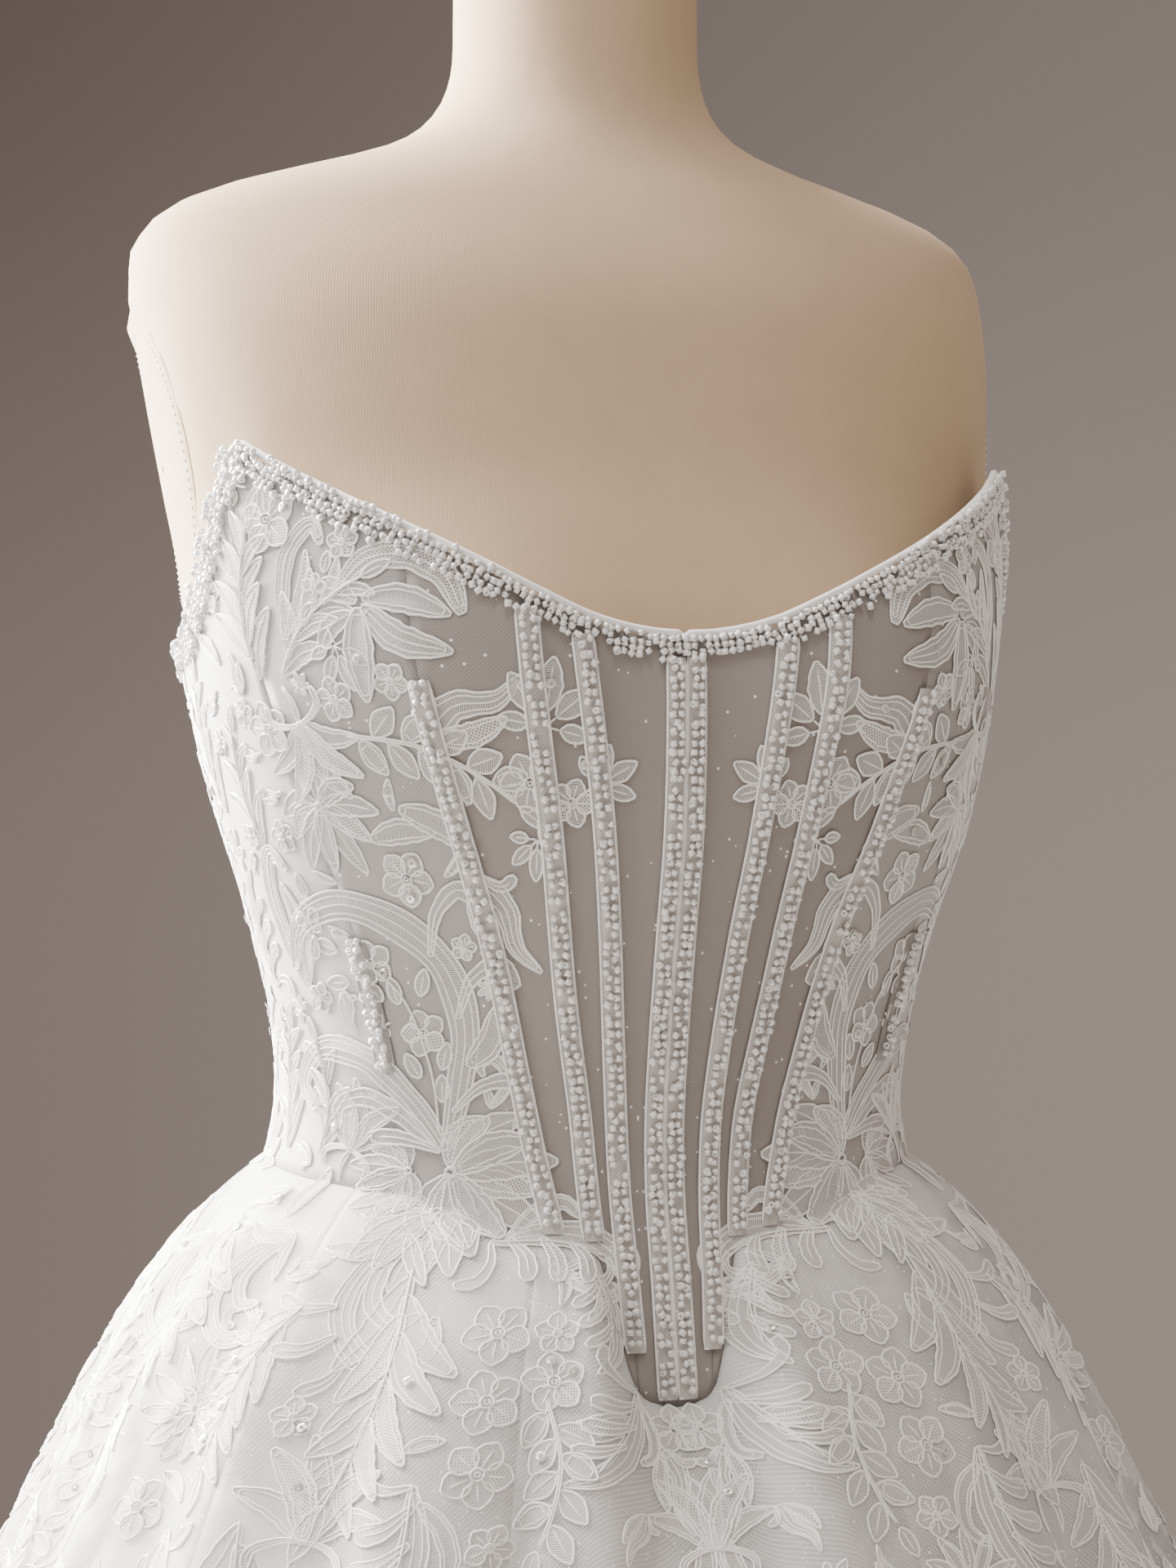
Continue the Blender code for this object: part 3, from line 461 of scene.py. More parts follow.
def mesh_object(
    name: str, points: Array, faces: Array, uv: Array, groups: Array | None = None
) -> bpy.types.Object:
    """Make an object from quads, with a UV value for each corner.

    Args:
        name: the piece's name.
        points: the points, one in a row.
        faces: four point numbers a face.
        uv: UV values, one for each corner of each face.
        groups: the number of each face's material.

    Returns:
        The new object, smooth shaded, at the origin.
    """
    mesh = bpy.data.meshes.new(name)
    mesh.vertices.add(len(points))
    mesh.vertices.foreach_set("co", points.reshape(-1).astype(np.float32))
    mesh.loops.add(faces.size)
    mesh.loops.foreach_set("vertex_index", faces.reshape(-1).astype(np.int32))
    mesh.polygons.add(len(faces))
    mesh.polygons.foreach_set("loop_start", np.arange(0, faces.size, 4, dtype=np.int32))
    layer = mesh.uv_layers.new(name="UVMap")
    layer.data.foreach_set("uv", uv.reshape(-1).astype(np.float32))
    if groups is not None:
        mesh.polygons.foreach_set("material_index", groups.astype(np.int32))
    mesh.update(calc_edges=True)
    mesh.validate()
    mesh.shade_smooth()
    item = bpy.data.objects.new(name, mesh)
    bpy.context.scene.collection.objects.link(item)
    return item


def grid_faces(rows: int, columns: int, wrap: bool = False) -> tuple[Array, Array]:
    """Faces of a grid of points, and the UV number of each corner.

    Args:
        rows: rows of points.
        columns: columns of points.
        wrap: whether the last column joins the first.

    Returns:
        The faces, and the corners' numbers in a UV grid that has one more column if it wraps.
    """
    steps = np.arange(rows - 1), np.arange(columns if wrap else columns - 1)
    row, column = np.meshgrid(*steps, indexing="ij")
    after = (column + 1) % columns
    corners = [row * columns + column, row * columns + after]
    corners += [(row + 1) * columns + after, (row + 1) * columns + column]
    width = columns + 1 if wrap else columns
    marks = [row * width + column, row * width + column + 1]
    marks += [(row + 1) * width + column + 1, (row + 1) * width + column]
    faces = np.stack(corners, axis=-1).reshape(-1, 4)[:, ::-1]
    return faces, np.stack(marks, axis=-1).reshape(-1, 4)[:, ::-1]


def surface(name: str, points: Array, uv: Array, wrap: bool = False) -> bpy.types.Object:
    """Make an object from a grid of points that runs down its outer side and round to the left."""
    rows, columns = points.shape[:2]
    faces, marks = grid_faces(rows, columns, wrap)
    return mesh_object(name, points.reshape(-1, 3), faces, uv.reshape(-1, 2)[marks])


def thicken(item: bpy.types.Object, wall: float, offset: float = -1.0) -> bpy.types.Object:
    """Give an open surface the wall of real cloth."""
    solidify = item.modifiers.new("cloth wall", "SOLIDIFY")
    solidify.thickness = wall
    solidify.offset = offset
    return item


def unit(vectors: Array) -> Array:
    """The vectors at length one."""
    return vectors / np.linalg.norm(vectors, axis=-1, keepdims=True)


def arc_lengths(points: Array, axis: int) -> Array:
    """Running length along one axis of a grid of points."""
    steps = np.linalg.norm(np.diff(points, axis=axis), axis=-1)
    total = np.cumsum(steps, axis=axis)
    start = np.zeros_like(np.take(total, [0], axis=axis))
    return np.concatenate([start, total], axis=axis)


def cloth_uv(points: Array) -> Array:
    """UV in metres on a grid of cloth: along the rows from their middle, and down the columns."""
    across = arc_lengths(points, 1)
    down = arc_lengths(points, 0)
    across = across - across[:, across.shape[1] // 2 : across.shape[1] // 2 + 1]
    return np.stack([across, -down], axis=-1)


@dataclass
class Store:
    """Joins many small surfaces into one mesh."""

    points: list[Array] = field(default_factory=list)
    faces: list[Array] = field(default_factory=list)
    uvs: list[Array] = field(default_factory=list)
    groups: list[Array] = field(default_factory=list)
    count: int = 0

    def add(self, points: Array, faces: Array, uv: Array, group: int = 0) -> None:
        """Add one surface.

        Args:
            points: its points, one in a row.
            faces: four point numbers a face.
            uv: a UV value for each corner.
            group: the number of its material.
        """
        self.points.append(points)
        self.faces.append(faces + self.count)
        self.uvs.append(uv)
        self.groups.append(np.full(len(faces), group))
        self.count += len(points)

    def tube(
        self, points: Array, normals: Array, radius: float, sides: int, closed: bool, group: int
    ) -> None:
        """Add a round cord along points: a circle square to the path at each of them.

        The ends of a cord that isn't a loop run out to a point. With fewer than four sides it is
        an arch that stands on the cloth.

        Args:
            points: the path.
            normals: the outward direction at each point.
            radius: the cord's radius.
            sides: sides of its circle, or points of its arch.
            closed: whether the path is a loop.
            group: the number of its material.
        """
        if closed:
            along = np.roll(points, -1, axis=0) - np.roll(points, 1, axis=0)
        else:
            along = np.gradient(points, axis=0)
        side = np.cross(along, normals)
        side /= np.linalg.norm(side, axis=1, keepdims=True) + 1e-12
        arch = sides < 4
        turn = np.linspace(0.0, math.pi, sides) if arch else np.arange(sides) * FULL_TURN / sides
        reach = np.full(len(points), radius)
        if not closed:
            reach[[0, -1]] *= 0.04
        ring = side[:, None, :] * np.cos(turn)[:, None] + normals[:, None, :] * np.sin(turn)[:, None]
        rings = points[:, None, :] + reach[:, None, None] * ring
        if closed:
            rings = np.concatenate([rings, rings[:1]])
        run = arc_lengths(rings[:, 0], 0)
        uv = np.stack(np.meshgrid(run, np.linspace(0.0, 1.0, sides + (not arch)), indexing="ij"), axis=-1)
        faces, marks = grid_faces(len(rings), sides, wrap=not arch)
        if closed:
            faces = faces % (len(points) * sides)
            rings = rings[:-1]
        self.add(rings.reshape(-1, 3), faces, uv.reshape(-1, 2)[marks], group)

    def build(self, name: str) -> bpy.types.Object:
        """Make the object."""
        joined = [np.concatenate(part) for part in (self.points, self.faces, self.uvs, self.groups)]
        return mesh_object(name, *joined)


# Finishes

WHITE = (1.0, 1.0, 1.0, 1.0)


@dataclass
class NodeTree:
    """Short calls for a material's or a group's nodes."""

    tree: bpy.types.NodeTree

    def node(self, kind: str, **values: object) -> bpy.types.Node:
        """Add a node; a value that names one of its settings is set on it."""
        made = self.tree.nodes.new(kind)
        for name, value in values.items():
            setattr(made, name, value)
        return made

    def math(self, operation: str, *inputs: object) -> bpy.types.NodeSocket:
        """Add a Math node over sockets or numbers, and return its result."""
        made = self.node("ShaderNodeMath", operation=operation)
        for number, value in enumerate(inputs):
            self.feed(made.inputs[number], value)
        return made.outputs[0]

    def feed(self, socket: bpy.types.NodeSocket, value: object) -> None:
        """Link a socket to another, or set it to a number."""
        if isinstance(value, bpy.types.NodeSocket):
            self.tree.links.new(value, socket)
        else:
            socket.default_value = value

    def mix(self, share: object, low: object, high: object) -> bpy.types.NodeSocket:
        """Mix two colours."""
        made = self.node("ShaderNodeMix", data_type="RGBA")
        self.feed(made.inputs[0], share)
        self.feed(made.inputs[6], low)
        self.feed(made.inputs[7], high)
        return made.outputs[2]

    def ramp(self, value: object, low: float, high: float) -> bpy.types.NodeSocket:
        """A smooth step from 0 at low to 1 at high."""
        made = self.node("ShaderNodeMapRange", interpolation_type="SMOOTHSTEP")
        self.feed(made.inputs[0], value)
        made.inputs[1].default_value = low
        made.inputs[2].default_value = high
        return made.outputs[0]

    def noise(self, vector: object, scale: float, detail: float = 2.0) -> bpy.types.NodeSocket:
        """Noise in three dimensions."""
        made = self.node("ShaderNodeTexNoise")
        self.feed(made.inputs["Vector"], vector)
        made.inputs["Scale"].default_value = scale
        made.inputs["Detail"].default_value = detail
        return made.outputs["Fac"]

    def bump(self, height: object, strength: float, distance: float) -> bpy.types.NodeSocket:
        """A Bump node over a height."""
        made = self.node("ShaderNodeBump")
        made.inputs["Strength"].default_value = strength
        made.inputs["Distance"].default_value = distance
        self.feed(made.inputs["Height"], height)
        return made.outputs["Normal"]


def new_group(
    name: str, inputs: Sequence[tuple[str, float]], outputs: Sequence[str]
) -> tuple[NodeTree, object, object]:
    """Start a shader node group with a vector input, number inputs and number outputs.

    Args:
        name: the group's name.
        inputs: name and default of each number.
        outputs: names of the values it puts out.

    Returns:
        The tree, its input node and its output node.
    """
    tree = bpy.data.node_groups.new(name, "ShaderNodeTree")
    tree.interface.new_socket("Vector", in_out="INPUT", socket_type="NodeSocketVector")
    for label, value in inputs:
        tree.interface.new_socket(label, in_out="INPUT", socket_type="NodeSocketFloat").default_value = value
    for label in outputs:
        tree.interface.new_socket(label, in_out="OUTPUT", socket_type="NodeSocketFloat")
    nodes = NodeTree(tree)
    return nodes, nodes.node("NodeGroupInput"), nodes.node("NodeGroupOutput")


def threads_group() -> bpy.types.NodeTree:
    """Threads that cross: two sets of even lines on the diagonals of the vector's X and Y.

    Returns:
        A group that puts out where the threads are, from 0 to 1.
    """
    nodes, given, made = new_group("crossed threads", [("Pitch", 1.2 * MM), ("Width", 0.3)], ["Threads"])
    parts = nodes.node("ShaderNodeSeparateXYZ")
    nodes.feed(parts.inputs[0], given.outputs["Vector"])
    lines = []
    for operation in ("ADD", "SUBTRACT"):
        place = nodes.math(operation, parts.outputs[0], parts.outputs[1])
        cycle = nodes.math("FRACT", nodes.math("DIVIDE", place, given.outputs["Pitch"]))
        away = nodes.math("ABSOLUTE", nodes.math("SUBTRACT", cycle, 0.5))
        lines.append(nodes.math("LESS_THAN", away, nodes.math("MULTIPLY", given.outputs["Width"], 0.5)))
    nodes.feed(made.inputs[0], nodes.math("MAXIMUM", *lines))
    return nodes.tree


def strokes_group() -> bpy.types.NodeTree:
    """Satin stitches: rounded ridges that lie across a shape at a slant, a little uneven.

    Returns:
        A group that puts out the stitches' height, from 0 to 1.
    """
    nodes, given, made = new_group("satin stitches", [("Pitch", 0.8 * MM), ("Slant", 0.5)], ["Height"])
    parts = nodes.node("ShaderNodeSeparateXYZ")
    nodes.feed(parts.inputs[0], given.outputs["Vector"])
    leaning = nodes.math("MULTIPLY", nodes.math("ABSOLUTE", parts.outputs[1]), given.outputs["Slant"])
    wobble = nodes.noise(given.outputs["Vector"], 260.0)
    place = nodes.math("ADD", parts.outputs[0], leaning)
    place = nodes.math("ADD", place, nodes.math("MULTIPLY", wobble, 0.7 * MM))
    turns = nodes.math("DIVIDE", place, given.outputs["Pitch"])
    wave = nodes.math("SINE", nodes.math("MULTIPLY", turns, FULL_TURN))
    nodes.feed(made.inputs[0], nodes.math("MULTIPLY_ADD", wave, 0.5, 0.5))
    return nodes.tree


def glitter_group() -> bpy.types.NodeTree:
    """Fine glitter: small dots, one near the middle of some of the cells of a cell pattern.

    Returns:
        A group that puts out where the dots are, from 0 to 1.
    """
    nodes, given, made = new_group("glitter dots", [("Spacing", 3.0 * MM), ("Share", 0.4)], ["Dots"])
    cells = nodes.node("ShaderNodeTexVoronoi")
    nodes.feed(cells.inputs["Vector"], given.outputs["Vector"])
    nodes.feed(cells.inputs["Scale"], nodes.math("DIVIDE", 1.0, given.outputs["Spacing"]))
    near = nodes.math("LESS_THAN", cells.outputs["Distance"], 0.16)
    parts = nodes.node("ShaderNodeSeparateColor")
    nodes.feed(parts.inputs[0], cells.outputs["Color"])
    chosen = nodes.math("LESS_THAN", parts.outputs[0], given.outputs["Share"])
    nodes.feed(made.inputs[0], nodes.math("MULTIPLY", near, chosen))
    return nodes.tree


def knit_group() -> bpy.types.NodeTree:
    """Fine knit: upright wales with small stitches along them, and a soft unevenness.

    Returns:
        A group that puts out the height and a slow tone, from 0 to 1.
    """
    nodes, given, made = new_group("fine knit", [("Pitch", 0.9 * MM)], ["Height", "Tone"])
    parts = nodes.node("ShaderNodeSeparateXYZ")
    nodes.feed(parts.inputs[0], given.outputs["Vector"])
    waves = []
    for axis, factor in ((0, 1.0), (1, 1.3)):
        place = nodes.math("DIVIDE", parts.outputs[axis], given.outputs["Pitch"])
        waves.append(nodes.math("SINE", nodes.math("MULTIPLY", place, FULL_TURN * factor)))
    stitches = nodes.math("MULTIPLY", *waves)
    both = nodes.math("MULTIPLY_ADD", stitches, 0.35, nodes.math("MULTIPLY", waves[0], 0.3))
    nodes.feed(made.inputs["Height"], nodes.math("ADD", both, 0.5))
    nodes.feed(made.inputs["Tone"], nodes.noise(given.outputs["Vector"], 60.0, 6.0))
    return nodes.tree


@dataclass(frozen=True)
class Finish:
    """A material's constant values.

    Args:
        name: the material's name.
        colour: its base colour.
        roughness: its roughness.
        sheen: its sheen weight.
        metallic: its metallic value.
        transmission: its transmission weight.
    """

    name: str
    colour: tuple[float, float, float]
    roughness: float
    sheen: float = 0.0
    metallic: float = 0.0
    transmission: float = 0.0

    def start(self) -> tuple[bpy.types.Material, NodeTree, bpy.types.Node]:
        """Make the material with its constants on the shader's own sockets."""
        material = bpy.data.materials.new(self.name)
        material.use_nodes = True
        shader = material.node_tree.nodes["Principled BSDF"]
        shader.inputs["Base Color"].default_value = (*self.colour, 1.0)
        shader.inputs["Roughness"].default_value = self.roughness
        shader.inputs["Metallic"].default_value = self.metallic
        shader.inputs["Transmission Weight"].default_value = self.transmission
        shader.inputs["Sheen Weight"].default_value = self.sheen
        shader.inputs["Sheen Roughness"].default_value = 0.4
        return material, NodeTree(material.node_tree), shader

    def shade(self, amount: float) -> tuple[float, float, float, float]:
        """The base colour, lighter or darker."""
        return (*(min(value * amount, 1.0) for value in self.colour), 1.0)


@dataclass
class Finishes:
    """Every finish of the gown and its form, each made once."""

    jersey_look: Finish = Finish("beige jersey", (0.52, 0.375, 0.240), 0.85, sheen=0.06)
    lining_look: Finish = Finish("white lining", (0.66, 0.655, 0.65), 0.5, sheen=0.1)
    ground_look: Finish = Finish("net over lining", (0.56, 0.555, 0.55), 0.6, sheen=0.15)
    # Painted shade of the half-lit front: the bust panels' net ground is a darker copy of the side ground.
    bust_shaded_look: Finish = Finish("net over cup lining", (0.36, 0.347, 0.338), 0.6, sheen=0.1)
    # The sheer panels' ground is dark because the form shows through it, and darker still by painted shade
    # of the half-lit front.
    sheer_shaded_look: Finish = Finish("net over sheer lining", (0.285, 0.262, 0.247), 0.6, sheen=0.1)
    tulle_look: Finish = Finish("glitter tulle", (0.96, 0.96, 0.955), 0.6, sheen=0.2)
    satin_look: Finish = Finish("satin stitch", (0.62, 0.61, 0.60), 0.45, sheen=0.3)
    bold_look: Finish = Finish("satin stitch on tulle", (0.64, 0.63, 0.62), 0.45, sheen=0.3)
    netting_look: Finish = Finish("netted fill", (0.62, 0.61, 0.60), 0.6, sheen=0.2)
    cord_look: Finish = Finish("lace cord", (0.97, 0.965, 0.95), 0.45, sheen=0.5)
    strip_look: Finish = Finish("sheer strip", (0.55, 0.53, 0.51), 0.6, sheen=0.2)
    piping_look: Finish = Finish("white piping", (0.94, 0.935, 0.925), 0.5, sheen=0.2)
    bead_look: Finish = Finish("clear seed bead", (0.99, 0.985, 0.98), 0.06, transmission=0.12)
    sequin_look: Finish = Finish("clear sequin", (0.80, 0.79, 0.77), 0.16, metallic=0.35)
    steel_look: Finish = Finish("satin steel", (0.60, 0.60, 0.61), 0.3, metallic=1.0)
    board_look: Finish = Finish("plain board", (0.42, 0.31, 0.20), 0.6)
    lacquer_look: Finish = Finish("white lacquer", (0.85, 0.84, 0.82), 0.25, metallic=0.2)

    def __post_init__(self) -> None:
        """Build the shared groups and then each material."""
        self.threads = threads_group()
        self.strokes = strokes_group()
        self.glitter = glitter_group()
        self.knit = knit_group()
        self.jersey = self.make_jersey()
        self.lining = self.make_lining()
        self.ground = self.make_ground(self.ground_look)
        self.bust = self.make_ground(self.bust_shaded_look)
        self.sheer = self.make_ground(self.sheer_shaded_look)
        self.tulle = self.make_tulle()
        self.satin = self.make_stitched(self.satin_look, 0.85 * MM, 0.45, 0.6, 0.55)
        self.bold = self.make_stitched(self.bold_look, 0.85 * MM, 0.45, 0.4, 0.65)
        self.cord = self.make_stitched(self.cord_look, 0.9 * MM, 0.0, 0.04, 1.0)
        self.netting = self.make_netting()
        self.strip = self.make_ground(self.strip_look)
        self.piping = self.make_stitched(self.piping_look, 0.7 * MM, 0.6, 0.10, 1.0)
        self.bead = self.make_speckled(self.bead_look, 0.96)
        self.sequin = self.make_speckled(self.sequin_look, 0.9)
        self.steel = self.make_brushed()
        self.board = self.make_grained()
        self.lacquer = self.make_speckled(self.lacquer_look, 0.97)

    @staticmethod
    def uv(nodes: NodeTree) -> bpy.types.NodeSocket:
        """The piece's own UV map."""
        return nodes.node("ShaderNodeUVMap", uv_map="UVMap").outputs[0]

    @staticmethod
    def place(nodes: NodeTree) -> bpy.types.NodeSocket:
        """Object coordinates."""
        return nodes.node("ShaderNodeTexCoord").outputs["Object"]

    @staticmethod
    def grouped(
        nodes: NodeTree, group: bpy.types.NodeTree, vector: object, **values: float
    ) -> bpy.types.Node:
        """Place a shared group with its own values."""
        made = nodes.node("ShaderNodeGroup", node_tree=group)
        nodes.feed(made.inputs["Vector"], vector)
        for name, value in values.items():
            made.inputs[name.capitalize()].default_value = value
        return made

    def make_jersey(self) -> bpy.types.Material:
        """Fine beige knit: small wales and stitches, a soft random tone, and a painted highlight where the
        loops stand up.
        """
        material, nodes, shader = self.jersey_look.start()
        knit = self.grouped(nodes, self.knit, self.uv(nodes))
        look = self.jersey_look
        # Painted highlight: the colour is paler where the loops stand up, mixed with a random tone.
        stitches = nodes.math("MULTIPLY", knit.outputs["Height"], 0.4)
        share = nodes.math("MULTIPLY_ADD", knit.outputs["Tone"], 0.6, stitches)
        nodes.feed(shader.inputs["Base Color"], nodes.mix(share, look.shade(0.90), look.shade(1.10)))
        nodes.feed(shader.inputs["Normal"], nodes.bump(knit.outputs["Height"], 0.35, 0.2 * MM))
        return material

    def make_lining(self) -> bpy.types.Material:
        """Smooth lining cloth: a very fine weave and a soft unevenness."""
        material, nodes, shader = self.lining_look.start()
        vector = self.uv(nodes)
        weave = self.grouped(nodes, self.threads, vector, pitch=0.7 * MM, width=0.5)
        tone = nodes.noise(vector, 9.0, 3.0)
        look = self.lining_look
        nodes.feed(shader.inputs["Base Color"], nodes.mix(tone, look.shade(0.95), look.shade(1.03)))
        nodes.feed(shader.inputs["Normal"], nodes.bump(weave.outputs[0], 0.08, 0.1 * MM))
        return material

    def make_ground(self, look: Finish) -> bpy.types.Material:
        """Fine diagonal net over the lining: pale threads with the lining between them."""
        material, nodes, shader = look.start()
        vector = self.uv(nodes)
        net = self.grouped(nodes, self.threads, vector, pitch=1.5 * MM, width=0.42)
        glitter = self.grouped(nodes, self.glitter, vector, spacing=3.4 * MM, share=0.22)
        cloth = nodes.mix(net.outputs[0], look.shade(0.88), look.shade(1.12))
        nodes.feed(shader.inputs["Base Color"], nodes.mix(glitter.outputs[0], cloth, WHITE))
        nodes.feed(shader.inputs["Normal"], nodes.bump(net.outputs[0], 0.5, 0.15 * MM))
        return material

    def make_tulle(self) -> bpy.types.Material:
        """Sheer tulle with glitter: half open between its threads, closed and bright at the dots."""
        material, nodes, shader = self.tulle_look.start()
        vector = self.uv(nodes)
        net = self.grouped(nodes, self.threads, vector, pitch=1.7 * MM, width=0.36)
        glitter = self.grouped(nodes, self.glitter, vector, spacing=2.6 * MM, share=0.35)
        veil = nodes.math("MULTIPLY_ADD", net.outputs[0], 0.30, 0.24)
        uneven = nodes.math("MULTIPLY_ADD", nodes.noise(vector, 14.0, 3.0), 0.16, -0.08)
        alpha = nodes.math("MAXIMUM", nodes.math("ADD", veil, uneven), glitter.outputs[0])
        nodes.feed(shader.inputs["Alpha"], alpha)
        look = self.tulle_look
        colour = nodes.mix(glitter.outputs[0], look.shade(1.0), WHITE)
        nodes.feed(shader.inputs["Base Color"], colour)
        nodes.feed(shader.inputs["Roughness"], nodes.math("MULTIPLY_ADD", glitter.outputs[0], -0.45, 0.6))
        return material

    def make_stitched(
        self, look: Finish, pitch: float, slant: float, depth: float, cover: float
    ) -> bpy.types.Material:
        """Thread work: ridges of thread at a pitch and a slant, with painted shade in the grooves and a
        painted highlight on the ridges.

        Args:
            look: the constant values.
            pitch: from ridge to ridge, in metres.
            slant: how far the ridges lean.
            depth: strength of the relief, and of its painted shade and highlight.
            cover: how much of the ground the thread hides in the grooves.

        Returns:
            The material.
        """
        material, nodes, shader = look.start()
        vector = self.uv(nodes)
        strokes = self.grouped(nodes, self.strokes, vector, pitch=pitch, slant=slant)
        # Painted shade and highlight: the colour darkens in the stitches' grooves and lightens on their
        # ridges.
        groove_painted_shade, ridge = look.shade(1.0 - 0.5 * depth), look.shade(1.0 + 0.5 * depth)
        nodes.feed(shader.inputs["Base Color"], nodes.mix(strokes.outputs[0], groove_painted_shade, ridge))
        nodes.feed(shader.inputs["Normal"], nodes.bump(strokes.outputs[0], depth, 0.35 * MM))
        if cover < 1.0:
            alpha = nodes.math("MULTIPLY_ADD", strokes.outputs[0], 1.0 - cover, cover)
            nodes.feed(shader.inputs["Alpha"], alpha)
        return material

    def make_netting(self) -> bpy.types.Material:
        """A lace fill of open threads, see-through between them."""
        material, nodes, shader = self.netting_look.start()
        vector = self.uv(nodes)
        net = self.grouped(nodes, self.threads, vector, pitch=1.5 * MM, width=0.45)
        look = self.netting_look
        nodes.feed(shader.inputs["Alpha"], nodes.math("MULTIPLY_ADD", net.outputs[0], 0.70, 0.25))
        colour = nodes.mix(net.outputs[0], look.shade(0.80), look.shade(1.30))
        nodes.feed(shader.inputs["Base Color"], colour)
        nodes.feed(shader.inputs["Normal"], nodes.bump(net.outputs[0], 0.6, 0.25 * MM))
        return material

    def make_speckled(self, look: Finish, low: float) -> bpy.types.Material:
        """Glass, foil or lacquer, with a tone that wanders a little from piece to piece."""
        material, nodes, shader = look.start()
        tone = nodes.noise(self.place(nodes), 420.0, 1.0)
        nodes.feed(shader.inputs["Base Color"], nodes.mix(tone, look.shade(low), look.shade(1.04)))
        return material

    def make_brushed(self) -> bpy.types.Material:
        """Satin steel with fine turned lines and slightly uneven roughness."""
        material, nodes, shader = self.steel_look.start()
        parts = nodes.node("ShaderNodeSeparateXYZ")
        nodes.feed(parts.inputs[0], self.place(nodes))
        squares = [nodes.math("POWER", parts.outputs[axis], 2.0) for axis in (0, 1)]
        reach = nodes.math("SQRT", nodes.math("ADD", *squares))
        place = nodes.node("ShaderNodeCombineXYZ")
        nodes.feed(place.inputs[0], nodes.math("MULTIPLY", reach, 900.0))
        nodes.feed(place.inputs[2], nodes.math("MULTIPLY", parts.outputs[2], 700.0))
        lines = nodes.noise(place.outputs[0], 1.0, 3.0)
        nodes.feed(shader.inputs["Roughness"], nodes.math("MULTIPLY_ADD", lines, 0.25, 0.2))
        nodes.feed(shader.inputs["Normal"], nodes.bump(lines, 0.05, 0.1 * MM))
        return material

    def make_grained(self) -> bpy.types.Material:
        """Plain wood with a fine grain along X."""
        material, nodes, shader = self.board_look.start()
        stretch = nodes.node("ShaderNodeMapping")
        stretch.inputs["Scale"].default_value = (4.0, 60.0, 60.0)
        nodes.feed(stretch.inputs["Vector"], self.place(nodes))
        grain = nodes.noise(stretch.outputs[0], 2.0, 6.0)
        look = self.board_look
        nodes.feed(shader.inputs["Base Color"], nodes.mix(grain, look.shade(0.7), look.shade(1.2)))
        nodes.feed(shader.inputs["Normal"], nodes.bump(grain, 0.2, 0.3 * MM))
        return material


def dress(item: bpy.types.Object, slot: str, *materials: bpy.types.Material) -> bpy.types.Object:
    """Give a piece its materials, and let it ride on the gown's body.

    Args:
        item: the piece.
        slot: the record's material slot; not used.
        materials: its materials in order.

    Returns:
        The piece.
    """
    if item.data.materials:
        item.data.materials.clear()
    for material in materials:
        item.data.materials.append(material)
    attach(item, BODY)
    LOG.info("%s: %d faces", item.name, len(item.data.polygons))
    return item


# The dress form and its stand


